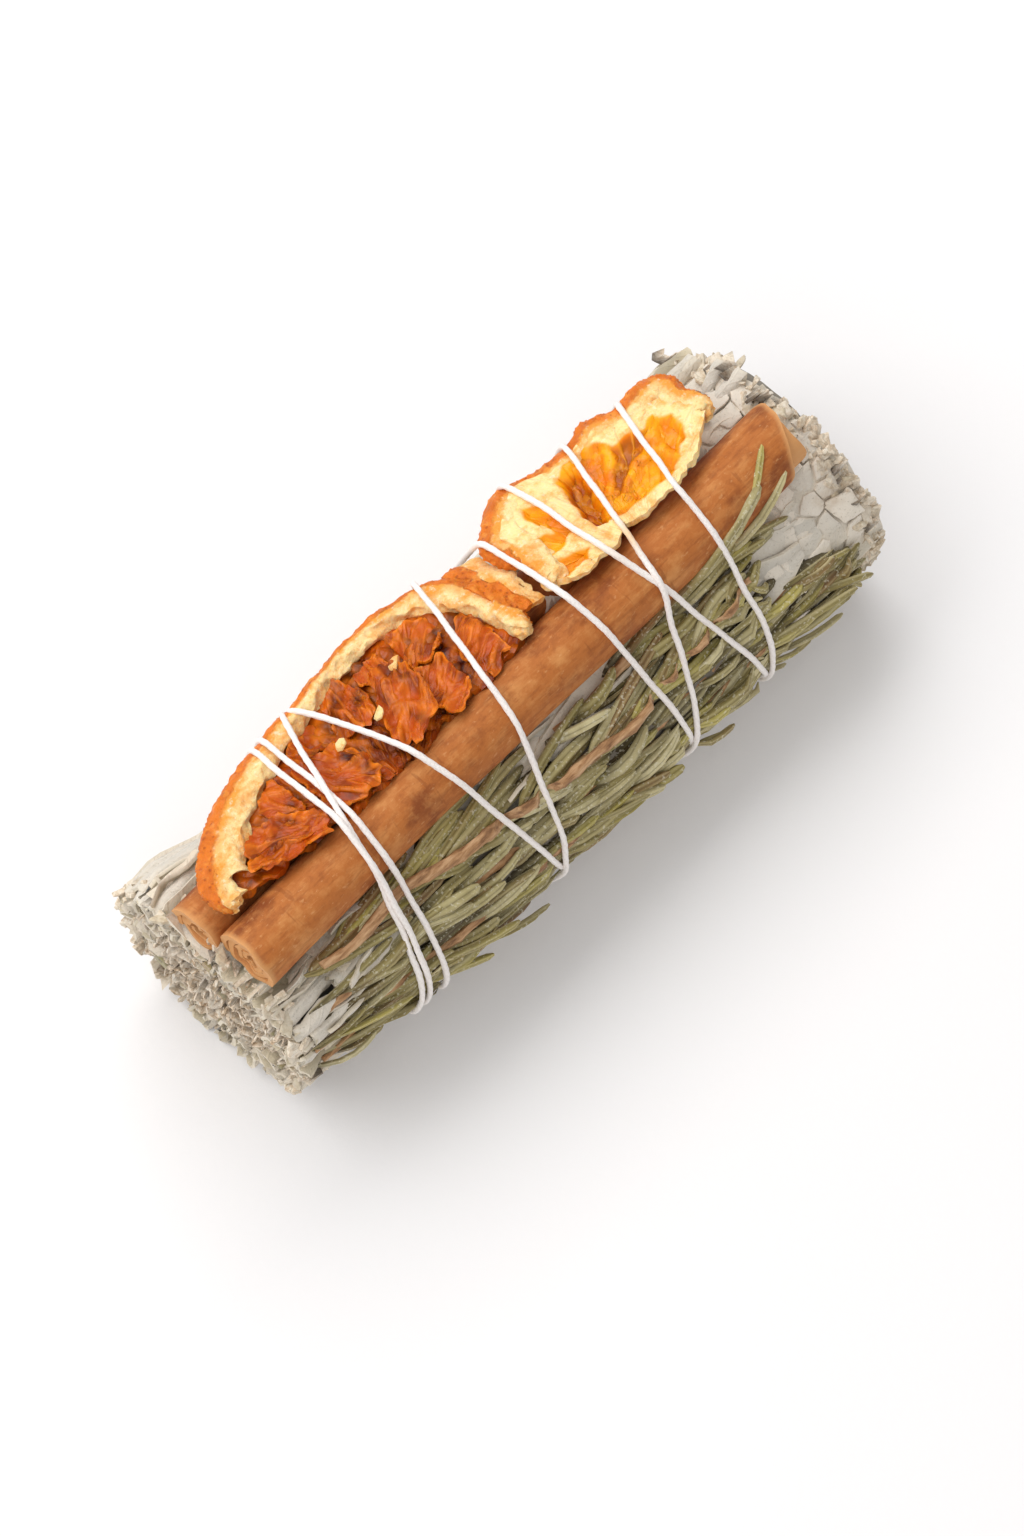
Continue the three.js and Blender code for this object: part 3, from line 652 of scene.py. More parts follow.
def bundle_end(is_far, z):
    """Where the bundle ends at one height: its far end leans back, and its near one bulges below."""
    rise = (z - AXIS_HEIGHT) / FAR_RADIUS
    near = NEAR_END + NEAR_END_SLOPE * rise - 0.5 * smooth(z, 16, 5)
    return FAR_END - FAR_END_SLOPE * rise if is_far else near


def hollow(x, degrees):
    """How far the bundle falls in: at its far back, behind the slices and at its lower near front."""
    degrees = (np.asarray(degrees) + 180) % 360 - 180
    far_end = 2.2 * smooth(x, 34, 50) * smooth(degrees, 8, 45) * smooth(degrees, 150, 110)
    behind = 1.9 * smooth(x, -46, -37) * smooth(x, 47, 40)
    behind = behind * smooth(degrees, 24, 52) * smooth(degrees, 140, 105)
    near_end = 2.3 * smooth(x, -20, -46) * smooth(degrees, -50, -85) + 0 * x
    return np.maximum(far_end, behind) + near_end


def quill_radius(quill, x):
    """Outer radius of a quill at one place along it."""
    return quill["radius"] + quill["flare"] * smooth(x, quill["from"] + 10, quill["to"])


def clear_of_quills(points):
    """Leaves give way to the quills that press into them."""
    for quill in (FRONT_QUILL, BACK_QUILL):
        offset = points[:, 1:] - (quill["y"], quill["z"])
        distance = np.linalg.norm(offset, axis=1)
        reach = quill_radius(quill, points[:, 0]) + QUILL_CLEARANCE
        beside = (points[:, 0] > quill["from"] - 2) & (points[:, 0] < quill["to"] + 2)
        inside = beside & (distance < reach)
        pushed = (quill["y"], quill["z"]) + unit(offset) * reach[:, None]
        points[:, 1:] = np.where(inside[:, None], pushed, points[:, 1:])
    return points


def pressed_leaf(form, draw, settings, x, angle, height):
    """One leaf pressed on the bundle, cut off where it would pass the ends."""
    way = 1 if draw.random() < 0.7 else -1
    length = settings.leaf_length / MM * draw.uniform(0.75, 1.25)
    half = settings.leaf_width / MM / 2 * draw.uniform(0.65, 1.2)
    lift, curl, drift = draw.uniform(0, 0.7), draw.uniform(0.1, 1.0), draw.uniform(-6, 6)
    seed = int(draw.integers(1e6))
    foot = polar(0, angle, FAR_RADIUS)
    first = max(bundle_end(False, foot[2]) + draw.uniform(5, 20), x - length / 2)
    last = min(bundle_end(True, foot[2]) + draw.uniform(-0.6, 0.9), x + length / 2)

    def surface(u, v):
        at = first + (last - first) * (v if way > 0 else 1 - v)
        local = np.clip(way * (at - x) / length + 0.5, 0.001, 0.999)
        taper = 0.22 + 0.78 * np.sin(np.pi * local ** 0.9) ** 0.65
        across = u * half * taper
        flat = flat_points(at, across)
        outline = 1 + 0.10 * waves(flat, 5, seed + 1)
        turn = angle + drift * (local - 0.5) - way * np.degrees(across * outline / bundle_radius(at))
        crumple = 0.2 * waves(flat, 8, seed) + 0.12 * waves(flat, 3, seed + 2)
        crease = -0.35 * np.exp(-((u / 0.18) ** 2))
        rise = height + lift * (local - 0.5) + curl * (u * u - 0.35) * taper + crumple + crease
        return on_bundle(at, turn, rise - hollow(at, turn))

    made = wall_sheet(
        form, surface, settings.leaf_thickness / MM, tint=draw.uniform(0.14, 1), across=lambda u, v: u,
        along=lambda u, v: v * length, edge=lambda u, v: smooth(np.abs(u), 0.8, 1))
    at = made.points[:, 0]
    degrees = np.degrees(np.arctan2(made.points[:, 1], made.points[:, 2] - AXIS_HEIGHT))
    # Painted shade on the leaf where the rosemary needles lie over it.
    shade_under_needles = smooth(at, -42, -34) * smooth(at, 34, 26)
    shade_under_needles = shade_under_needles * smooth(degrees, -44, -52) * smooth(degrees, -122, -112)
    made.values["shade"] = 0.8 * shade_under_needles
    clear_of_quills(made.points)
    return made


def opening_side(draw):
    """Which way a folded leaf opens: inwards, as a ridge, or outwards, as a trough."""
    return -1 if draw.random() < RIDGE_SHARE else 1


def rolled_leaf(form, draw, settings, first, angle, top, length, opening):
    """One leaf folded along its midrib: a ridge or a trough that sinks into the bundle behind its end."""
    radius = draw.uniform(1.1, 2.1)
    wrap = draw.uniform(1.7, 2.6)
    drift = draw.uniform(-6, 6)
    lean = draw.uniform(-0.6, 0.6)
    squash = draw.uniform(0.6, 1.0)
    seed = int(draw.integers(1e6))
    height = top - radius if opening < 0 else top - 0.4 * radius

    def surface(u, v):
        at = first + length * v
        local = np.clip(v, 0, 1)
        flat = flat_points(at, u * 3)
        size = radius * (1 - 0.6 * local ** 1.5) * (1 + 0.15 * waves(flat, 6, seed))
        bend = u * wrap + lean
        across = squash * size * np.sin(bend) + 0.35 * waves(flat, 7, seed + 2)
        rise = height - opening * size * np.cos(bend) + 0.15 * waves(flat, 2.6, seed + 1)
        rise = rise - 1.6 * smooth(local, 0.6, 1)
        turn = angle + drift * local - opening * np.degrees(across / bundle_radius(at))
        frayed = at - 0.4 * waves(flat, 1.4, seed + 3) * smooth(v, 0.1, 0)
        return on_bundle(frayed, turn, rise - hollow(at, turn))

    def edge(u, v):
        return np.maximum(smooth(np.abs(u), 0.8, 1), smooth(v, 0.04, 0))

    made = wall_sheet(
        form, surface, settings.leaf_thickness / MM, tint=draw.uniform(0.38, 0.82), across=lambda u, v: u,
        along=lambda u, v: v * length, edge=edge)
    axis = on_bundle(first + length * form.along, angle + drift * form.along, height)
    apart = np.linalg.norm(made.points - axis, axis=1)
    is_outer = apart[form.outer > 0.5].mean() > apart[form.outer < 0.5].mean()
    made.values["under"] = 1 - form.outer if is_outer else form.outer
    # Painted shade: inside the fold beyond its open end, and along a ridge's sides where it goes under its
    # neighbours.
    sides = 0.2 * smooth(np.abs(form.across), 0.6, 0.95) if opening < 0 else 0
    made.values["shade"] = np.maximum(0.32 * made.values["under"] * smooth(form.along, 0.02, 0.2), sides)
    clear_of_quills(made.points)
    return made


def flake(draw, settings, corners, centre, normal, edgeways):
    """A flat broken bit of leaf with the given corners, in its own plane."""
    outline = outline_points(corners, 4)
    outline = outline * (1 + draw.uniform(-0.05, 0.05, (len(outline), 1)))
    forward = unit(np.cross(normal, edgeways))
    thick = settings.leaf_thickness / MM * draw.uniform(0.8, 1.3)
    rings = []
    for share, rise in ((0.96, -thick), (1, -0.4 * thick), (0.99, -0.1 * thick), (0.94, 0), (0.4, 0.04)):
        bent = outline * share
        rings.append(centre + bent[:, :1] * edgeways + bent[:, 1:] * forward + rise * normal)
    return np.array(rings)


def cracked_leaves(draw, settings, lows, highs, size, height):
    """Broad leaves broken into angular plates: cells round scattered points, each a little askew."""
    middle = np.radians((lows[1] + highs[1]) / 2)
    radius = bundle_radius((lows[0] + highs[0]) / 2)
    spans = highs[0] - lows[0], np.radians(highs[1] - lows[1]) * radius
    columns, rows = (max(2, round(span / size)) for span in spans)
    spots = np.array([
        ((i + draw.uniform(0.1, 0.9)) / columns - 0.5, (j + draw.uniform(0.1, 0.9)) / rows - 0.5)
        for i in range(columns) for j in range(rows)]) * spans
    shapes = []
    for spot in spots:
        corners = [np.array(corner) * size for corner in ((-1, -1), (1, -1), (1, 1), (-1, 1))]
        for axis, sign in ((0, 1), (0, -1), (1, 1), (1, -1)):
            limit = spans[axis] / 2 - sign * spot[axis] + draw.uniform(-0.4, 0.6)
            corners = clipped(corners, np.eye(2)[axis] * sign, limit)
        for other in spots:
            apart = other - spot
            far = np.hypot(*apart)
            if 0 < far < 3 * size:
                corners = clipped(corners, apart / far, far / 2 - PLATE_GAP)
        if len(corners) < 3:
            continue
        corners = np.array(corners)
        if np.hypot(*np.ptp(corners, axis=0)) < SMALLEST_PLATE:
            continue
        x = (lows[0] + highs[0]) / 2 + spot[0]
        degrees = np.degrees(middle + spot[1] / radius)
        normal = unit(outward_at(degrees) + draw.normal(0, 0.11, 3))
        edgeways = unit(np.array([1.0, 0, 0]) - normal * normal[0])
        centre = on_bundle(x, degrees, height + draw.uniform(-0.45, 0.4) - hollow(x, degrees))
        offset = corners.mean(0)
        rings = flake(draw, settings, corners - offset, centre, normal, edgeways)
        rings = rings + offset[0] * edgeways + offset[1] * np.cross(normal, edgeways)
        shapes.append(loft(rings, tint=draw.uniform(0.5, 0.8), across=0.5))
    return shapes


def clipped(corners, direction, limit):
    """A convex outline cut off beyond a line."""
    kept = []
    for a, b in zip(corners, corners[1:] + corners[:1]):
        over_a, over_b = a @ direction - limit, b @ direction - limit
        if over_a <= 0:
            kept.append(a)
        if (over_a < 0) != (over_b < 0):
            kept.append(a + (b - a) * over_a / (over_a - over_b))
    return kept


def rim_flakes(draw, settings, middle, is_far, count):
    """Broken bits of leaf that stand out round the rim of a cut end."""
    shapes = []
    for _ in range(count):
        degrees = middle + draw.uniform(-30, 30)
        z = polar(0, degrees, FAR_RADIUS)[2]
        x = bundle_end(is_far, z) - end_way(is_far) * draw.uniform(-0.3, 3.4)
        centre = on_bundle(x, degrees, draw.uniform(-0.6, 1.2) - hollow(x, degrees))
        normal = unit(outward_at(degrees) + draw.normal(0, 0.36, 3))
        edgeways = unit(np.cross(normal, draw.normal(size=3)))
        turns = np.sort(draw.uniform(0, 2 * np.pi, 5))
        size = draw.uniform(0.6, 1.9)
        corners = size * np.stack([np.cos(turns), draw.uniform(0.5, 1) * np.sin(turns)], -1)
        rings = flake(draw, settings, corners, centre, normal, edgeways)
        cut = draw.uniform(0.3, 1)
        shapes.append(loft(rings, tint=draw.uniform(0.0, 0.8), edge=0.9, across=0.5, cut=cut))
    return shapes


def fold_lines(draw, inside, spacing, seed):
    """Lines of pressed leaves on a cut end, which follow a swirling direction and keep their distance."""
    lines = []
    taken = np.zeros((0, 2))

    def heading(point):
        flat = np.array([[0.0, point[0], point[1]]])
        around = math.atan2(point[1] - AXIS_HEIGHT, point[0]) + math.pi / 2
        return around + 1.2 * waves(flat, 9, seed)[0] + 0.9 * waves(flat, 4, seed + 1)[0]

    def is_free(point, others):
        return len(others) == 0 or np.hypot(*(others - point).T).min() > spacing

    for _ in range(FOLD_TRIES):
        start = inside(draw)
        if start is None or not is_free(start, taken):
            continue
        halves = []
        for way in (1, -1):
            point = start.copy()
            half = []
            for _ in range(int(draw.integers(3, 9))):
                direction = heading(point) + (0 if way > 0 else math.pi)
                point = point + FOLD_STEP * np.array([math.cos(direction), math.sin(direction)])
                if not is_free(point, taken):
                    break
                half.append(point)
            halves.append(half)
        line = np.array(halves[1][::-1] + [start] + halves[0])
        if len(line) < 4:
            continue
        lines.append(line)
        taken = np.concatenate([taken, line])
    return lines


def cut_folds(form, draw, settings, is_far, inside, seed):
    """The cut leaves on one end of a sprig: folded strips that stand on edge, with painted shade low down.
    """
    way = end_way(is_far)
    shapes = []
    for line in fold_lines(draw, inside, settings.fold_spacing / MM, seed):
        share = np.linspace(-1, 1, len(line))
        proud = draw.uniform(-0.7, 0.6)
        lean = draw.uniform(-0.6, 0.6, 2)
        rough = int(draw.integers(1e6))
        depth = draw.uniform(1.5, 2.4)

        def surface(u, v):
            y, z = read_line(u, share, line).T
            flat = flat_points(y, z)
            top = proud + 0.5 * waves(flat, 1.8, rough) + 0.35 * waves(flat, 0.8, rough + 1)
            x = bundle_end(is_far, z) + way * (top - depth * (1 - v))
            return np.stack([x, y + lean[0] * (v - 0.5), z + lean[1] * (v - 0.5)], -1)

        def wall(u, v):
            return (0.46 + 0.2 * np.sin(4 * u + rough)) * (1 - 0.5 * np.abs(u) ** 3)

        # Each strip carries painted shade, darker towards its sunk base.
        shapes.append(wall_sheet(
            form, surface, wall, tint=draw.uniform(0.2, 1), across=0.5, along=lambda u, v: 3 * u,
            cut=draw.uniform(0.4, 1), shade=lambda u, v: 0.9 - 0.9 * smooth(v, 0.2, 0.9)))
        clear_of_quills(shapes[-1].points)
    return shapes


def sector_core(form, face_form, middle, seed):
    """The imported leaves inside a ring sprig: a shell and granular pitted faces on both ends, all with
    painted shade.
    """
    low, high = NEAR_END + 1.2, FAR_END - 0.8

    def shell(u, v):
        at = low + (high - low) * v
        degrees = middle - CORE_HALF_ANGLE * u
        bumps = 0.3 * waves(flat_points(at, 0.3 * degrees), 5, seed)
        return on_bundle(at, degrees, bumps - 1.5 - hollow(at, degrees) - 1.7 * smooth(at, -32, -46))

    # The shell is painted dark with shade, as it lies deep under the leaves.
    shapes = [wall_sheet(form, shell, 0.8, tint=0.3, shade=0.7)]
    pits = np.random.default_rng(seed).uniform((-28, 8), (28, 15.5), (6, 2))
    for is_far in (False, True):
        def place(u, v, is_far=is_far):
            degrees = middle + end_way(is_far) * CORE_HALF_ANGLE * u
            y, z = polar(0, degrees, 5.5 + (10.6 if is_far else 8.4) * v)[:, 1:].T
            flat = flat_points(y, z)
            grain = 0.3 * waves(flat, 1.7, seed + 3) + 0.25 * waves(flat, 0.9, seed + 4)
            hole = 0 * y
            for turn, far in pits:
                spot = polar(0, middle + turn, far)[1:]
                hole = np.maximum(hole, np.exp(-(((y - spot[0]) ** 2 + (z - spot[1]) ** 2) / 0.8)))
            return y, z, grain, hole

        def face(u, v, is_far=is_far):
            y, z, grain, hole = place(u, v, is_far)
            sunk = 0.9 - grain + 2.0 * hole
            return np.stack([bundle_end(is_far, z) - end_way(is_far) * sunk, y, z], -1)

        # Painted shade on each cut face: darker in the grain's lows and in the pits.
        def shade(u, v, is_far=is_far):
            grain, hole = place(u, v, is_far)[2:]
            return np.clip(0.35 - 0.9 * grain + hole, 0, 1)

        shapes.append(wall_sheet(face_form, face, 0.6, tint=0.4, shade=shade, cut=0.9))
    for shape in shapes:
        clear_of_quills(shape.points)
    return shapes


def sage_stem_ends(draw, degrees, ring):
    """The woody stem of a sprig where it shows on both cut ends."""
    shapes = []
    around = circle(12)
    for is_far in (False, True):
        way = end_way(is_far)
        foot = polar(0, degrees, ring)
        radius = draw.uniform(0.9, 1.3) * (1 + 0.12 * np.sin(3 * around + draw.uniform(0, 6)))
        face = bundle_end(is_far, foot[2]) + way * draw.uniform(0.1, 0.7)
        rings = []
        for back, share in ((4, 1), (1.5, 1), (0.15, 0.97), (0, 0.86), (0.12, 0.45)):
            y = foot[1] + share * radius * np.cos(around)
            z = foot[2] + share * radius * np.sin(around)
            rings.append(np.stack([np.full_like(y, face - way * back), y, z], -1))
        shapes.append(loft(np.array(rings), tint=0.12, across=0.5))
    return shapes


def sage_finish(settings):
    """Felted sage: grey and pale leaves with fine pebbling, veins and some olive and brown, with painted
    shade.
    """
    leaf = Finish("Felted sage", 0.9, Sheen_Weight=0.2, Sheen_Roughness=0.6, Specular_IOR_Level=0.15)
    tint = leaf.math("ADD", leaf.value("tint"), leaf.math("MULTIPLY_ADD", leaf.noise(6), 0.4, -0.2))
    colour = leaf.ramp(
        tint, (0.0, settings.brown), (0.12, settings.olive), (0.28, settings.grey), (0.66, settings.pale),
        (1.0, settings.grey))
    stains = leaf.noise(9, 4, 0.6)
    green = leaf.noise(13, 3, 0.6, leaf.stretched(0.5, 1, 1))
    specks = leaf.noise(0.35, 2, 0.7)
    colour = leaf.layers(
        colour,
        (settings.brown, stains, 0.58, 0.72, 0, 0.45),
        (settings.olive, green, 0.62, 0.72, 0, 0.35),
        (paint(236, 232, 224), specks, 0.55, 0.75, 0, 0.35),
        (paint(130, 118, 94), specks, 0.30, 0.42, 0.35, 0))
    aside = leaf.math("ABSOLUTE", leaf.value("across"))
    midrib = leaf.step(aside, 0.03, 0.12, 1, 0)
    run = leaf.math("MULTIPLY_ADD", leaf.value("along"), 0.4, leaf.math("MULTIPLY", aside, -1.6))
    ribs = leaf.step(leaf.math("PINGPONG", run, 0.5), 0.02, 0.14, 1, 0)
    veins = leaf.math("MAXIMUM", midrib, leaf.math("MULTIPLY", ribs, 0.6))
    colour = leaf.mix(leaf.math("MULTIPLY", veins, 0.22), colour, paint(226, 218, 202))
    crumbs = leaf.noise(0.7, 3, 0.65)
    cut = leaf.ramp(
        crumbs, (0.36, paint(178, 142, 102)), (0.5, paint(232, 210, 182)), (0.64, paint(250, 240, 224)))
    colour = leaf.mix(leaf.part("cut", 0.85), colour, cut)
    # Painted shade along the lines between leaf layers and in dark patches on cut faces.
    layers = leaf.step(leaf.crease(3.2, 3, 0.55, None, 1.4), 0.0, 0.045, 0.6, 0)
    gap_shade = leaf.math("MAXIMUM", layers, leaf.step(leaf.noise(2.4), 0.34, 0.42, 0.6, 0))
    colour = leaf.mix(leaf.part("cut", gap_shade), colour, paint(106, 92, 66))
    inside = leaf.mix(leaf.noise(3), settings.olive, paint(214, 194, 146))
    colour = leaf.mix(leaf.part("under", 0.5), colour, inside)
    colour = leaf.mix(leaf.part("edge", 0.4), colour, paint(228, 216, 194))
    # Painted shade wherever a point carries shade.
    colour = leaf.mix(leaf.part("shade", 0.9), colour, settings.shade)
    pebble = leaf.cells(0.55)
    relief = leaf.math("ADD", leaf.math("MULTIPLY", pebble, 0.8), leaf.math("MULTIPLY", veins, 0.8))
    normal = leaf.bump(relief, 0.14, 0.7)
    normal = leaf.bump(leaf.noise(0.25, 3, 0.7), 0.08, 0.8, normal)
    return leaf.done(colour, normal)


class SMUDGE_OT_sage(bpy.types.Operator):
    """Makes the seven sage sprigs of pressed, folded, cracked and cut leaves"""

    bl_idname = "smudge.sage"
    bl_label = "Sage sprigs"

    def execute(self, context):
        settings = context.scene.smudge_sage
        material = sage_finish(settings)
        self.leaf_form = SheetForm(7, 16)
        self.fold_form = SheetForm(8, 2)
        self.core_form = SheetForm(10, 16)
        self.face_form = SheetForm(44, 26)
        for index, place in enumerate(RING_SPRIGS):
            shapes = under_string(self.ring_sprig(settings, index), context)
            make_piece(f"sage_leaves_{place}", shapes, material, "sage_leaf", f"sage_sprig_{place}")
        shapes = self.middle_sprig(settings)
        make_piece("sage_leaves_middle", shapes, material, "sage_leaf", "sage_sprig_middle")
        return {"FINISHED"}

    def ring_sprig(self, settings, index):
        """One of the six outer sprigs."""
        draw = np.random.default_rng(40 + index)
        middle = index * SECTOR - (360 if index > 3 else 0)
        shapes = sector_core(self.core_form, self.face_form, middle, 5 * index)
        shapes += sage_stem_ends(draw, middle, STEM_RING)

        def roll(first, angle, top, length, opening):
            form = self.leaf_form
            shapes.append(rolled_leaf(form, draw, settings, first, angle, top, length, opening))

        # leaves pressed along the sprig, the later ones higher
        for i in range(settings.leaves):
            layer = i / settings.leaves
            x = draw.uniform(NEAR_END + 6, FAR_END - 6)
            angle = middle + draw.uniform(-27, 27)
            shapes.append(pressed_leaf(self.leaf_form, draw, settings, x, angle, -0.9 + 1.2 * layer))
        # pairs of folded leaves round the near end, one over the other
        for i in range(9):
            angle = middle - 28 + 7 * i + draw.uniform(-2, 2)
            opening = opening_side(draw)
            first = bundle_end(False, polar(0, angle, FAR_RADIUS)[2]) + draw.uniform(-0.9, 0.8)
            top, length = draw.uniform(0.1, 1.1), draw.uniform(9, 30)
            roll(first, angle, top, length, opening)
            angle += draw.uniform(2, 6)
            roll(first, angle, draw.uniform(-3.4, -2.4), 7, -opening)
        for low, high, lowest, highest, count in LOOSE_FOLDS.get(index, ()):
            for _ in range(count):
                first, angle = draw.uniform(low, high), draw.uniform(lowest, highest)
                opening = opening_side(draw)
                top, length = draw.uniform(0.5, 1.5), draw.uniform(8, 17)
                roll(first, angle, top, length, opening)
        if index in (0, len(RING_SPRIGS) - 1):
            shapes += cracked_leaves(draw, settings, (29, middle - 29), (47, middle + 29), 3.2, 0.45)
        shapes += rim_flakes(draw, settings, middle, True, 70)
        shapes += rim_flakes(draw, settings, middle, False, 18)
        # folded leaves at the far end, on the top and the upper back
        if index < 2:
            for _ in range(5 + 9 * index):
                first, angle = draw.uniform(46.5, 50), middle + draw.uniform(-22, 28)
                opening = opening_side(draw)
                top, length = draw.uniform(0.4, 1.6), -draw.uniform(5, 9)
                roll(first, angle, top, length, opening)
        for is_far in (False, True):
            def inside(draw, is_far=is_far):
                degrees = middle + draw.uniform(-30, 30)
                widest = 17.4 - hollow(FAR_END, degrees) if is_far else 14.2 - hollow(NEAR_END, degrees)
                radius = math.sqrt(draw.uniform(7.2 ** 2, widest ** 2))
                point = polar(0, degrees, radius)[1:]
                return point if point[1] > 0.8 else None
            shapes += cut_folds(self.fold_form, draw, settings, is_far, inside, 200 + 10 * index + is_far)
        return shapes

    def middle_sprig(self, settings):
        """The sprig in the middle, of which only the cut ends show."""
        draw = np.random.default_rng(39)
        shapes = sage_stem_ends(draw, 0, 0.4)
        for is_far in (False, True):
            def inside(draw):
                return polar(0, draw.uniform(0, 360), MIDDLE_RADIUS * math.sqrt(draw.uniform(0, 1)))[1:]
            shapes += cut_folds(self.fold_form, draw, settings, is_far, inside, 300 + is_far)

            def back(u, v, is_far=is_far):
                y, z = polar(0, end_way(is_far) * 180 * u, 0.2 + 6.6 * v)[:, 1:].T
                flat = flat_points(y, z)
                sunk = 0.9 - 0.3 * waves(flat, 1.7, 31) - 0.25 * waves(flat, 0.9, 32)
                return np.stack([bundle_end(is_far, z) - end_way(is_far) * sunk, y, z], -1)
            # Painted shade on the back of each cut face.
            shapes.append(wall_sheet(self.face_form, back, 0.6, tint=0.4, shade=0.35, cut=0.9))
        return shapes


def bark_scroll(form, quill, settings, seed, torn):
    """Bark rolled into a scroll, with uneven ends and, where it is torn, a slanting broken end."""
    turns, pitch = quill["turns"], settings.pitch / MM
    wall = settings.wall / MM

    def surface(u, v):
        share = (u + 1) / 2
        turn = np.radians(quill["seam"]) + 2 * np.pi * turns * share
        flat = np.stack([2 * np.cos(turn), 2 * np.sin(turn), 4 * share], -1)
        start = quill["from"] + 0.25 * waves(flat, 2.5, seed) + 0.5 * share
        end = quill["to"] + 0.35 * waves(flat, 2.0, seed + 1) - 0.6 * share
        if torn:
            peeled = np.degrees(turn) - quill["seam"]
            end = end - 3.4 * smooth(peeled, 100, 210) * smooth(peeled, 262, 245)
        x = start + (end - start) * v
        place = flat_points(0.25 * x, 5 * share)
        layer = np.floor(turns * share)
        layer = layer + smooth(turns * share - layer, 0.7, 1)
        radius = quill_radius(quill, x) - wall / 2 - pitch * layer
        radius = radius + 0.07 * waves(place, 5, seed + 2) + 0.02 * waves(place, 1.6, seed + 3)
        sway = 0.3 * np.sin(x / 19 + seed)
        y = quill["y"] + sway + radius * np.cos(turn)
        z = quill["z"] + radius * np.sin(turn)
        return np.stack([x, y, z], -1)

    made = wall_sheet(form, surface, wall)
    made.values["inner"] = 1 - form.outer
    length = quill["to"] - quill["from"]
    ends = np.minimum(form.along, 1 - form.along) * length
    bared = smooth((1 - form.along) * length, 5, 4) * smooth(form.across, 2 / turns - 1, 2.1 / turns - 1)
    made.values["broken"] = np.maximum(smooth(ends, 0.9, 0.2), bared if torn else 0)
    return made


def bark_finish(settings):
    """Cinnamon bark: matte brown with fibres, blotches and pale flecks."""
    bark = Finish("Cinnamon bark", 0.68, Specular_IOR_Level=0.3)
    fibres = bark.noise(0.9, 5, 0.7, bark.stretched(0.16, 1, 1))
    blotch = bark.noise(6, 5, 0.62, bark.stretched(0.6, 1, 1))
    patch = bark.noise(2.2, 4, 0.65)
    colour = bark.ramp(
        blotch, (0.36, settings.dark), (0.48, settings.mid), (0.56, settings.mid), (0.7, settings.light))
    flecks = bark.noise(0.55, 3, 0.6, bark.stretched(0.5, 1, 1))
    scratches = bark.noise(2.4, 3, 0.75, bark.stretched(1, 0.22, 0.22))
    colour = bark.layers(
        colour,
        (settings.light, patch, 0.48, 0.66, 0, 0.3),
        (settings.dark, patch, 0.32, 0.46, 0.35, 0),
        (settings.dark, fibres, 0.34, 0.5, 0.4, 0),
        (settings.light, fibres, 0.54, 0.68, 0, 0.35),
        (paint(222, 170, 116), flecks, 0.62, 0.7, 0, 0.3),
        (settings.dark, scratches, 0.64, 0.69, 0, 0.4))
    inside = bark.mix(fibres, settings.inside, settings.light)
    bare = bark.math("MAXIMUM", bark.part("inner", 0.8), bark.value("broken"))
    colour = bark.mix(bare, colour, inside)
    normal = bark.bump(bark.math("ADD", fibres, patch), 0.16, 0.7)
    normal = bark.bump(bark.noise(0.3, 3, 0.7), 0.06, 0.7, normal)
    return bark.done(colour, normal)


class SMUDGE_OT_quills(bpy.types.Operator):
    """Makes the two scrolls of cinnamon bark"""

    bl_idname = "smudge.quills"
    bl_label = "Cinnamon quills"

    def execute(self, context):
        settings = context.scene.smudge_quills
        material = bark_finish(settings)
        form = SheetForm(110, 120)
        for name, quill, seed, torn in (("front", FRONT_QUILL, 3, True), ("back", BACK_QUILL, 9, False)):
            shape = bark_scroll(form, quill, settings, seed, torn)
            make_piece(f"cinnamon_bark_{name}", [shape], material, "cinnamon_bark", f"cinnamon_quill_{name}")
        return {"FINISHED"}


DRAPE_POINTS = smooth_line(np.array(DRAPE), 39)
DRAPE_RUN = run_along(DRAPE_POINTS)
DRAPE_AHEAD = unit(np.gradient(DRAPE_POINTS, axis=0))


def drape_point(piece, along, deep, height):
    """A point of a slice: along the bundle, down the drape, and out from the drape's middle surface."""
    held = np.clip(deep, 0, DRAPE_RUN[-1])
    y, z = read_line(held, DRAPE_RUN, DRAPE_POINTS).T
    ahead_y, ahead_z = read_line(held, DRAPE_RUN, DRAPE_AHEAD).T
    beyond = deep - held
    dip = piece["valley"] * np.exp(-(((along - piece["valley_at"]) / 4) ** 2))
    out = height + piece["lift"] - dip - 0.14 * beyond ** 2 + DRAPE_STIFFNESS * held ** 2
    y = y + ahead_y * beyond - ahead_z * out
    z = z + ahead_z * beyond + ahead_y * out
    return np.stack([piece["x"] + along, y, z], -1)


def slice_depth(piece, along):
    """How deep a slice reaches at one place along it."""
    edge = np.array(piece["edge"])
    back = edge[edge[:, 0].argmin():edge[:, 0].argmax() + 1]
    return np.interp(along, back[:, 0], back[:, 1])


def slice_edge(piece, count):
    """Points evenly spaced round the rind of a slice, the way in from each, and the rind's width there."""
    fine = smooth_line(np.array(piece["edge"]), 24)
    run = run_along(fine[:, :2])
    at = np.linspace(0, run[-1], count)
    edge = blurred(read_line(at, run, fine), 3)
    inward = unit(np.gradient(edge[:, :2], axis=0))[:, ::-1] * (1, -1)
    return edge[:, :2], blurred(inward, 6), edge[:, 2], at


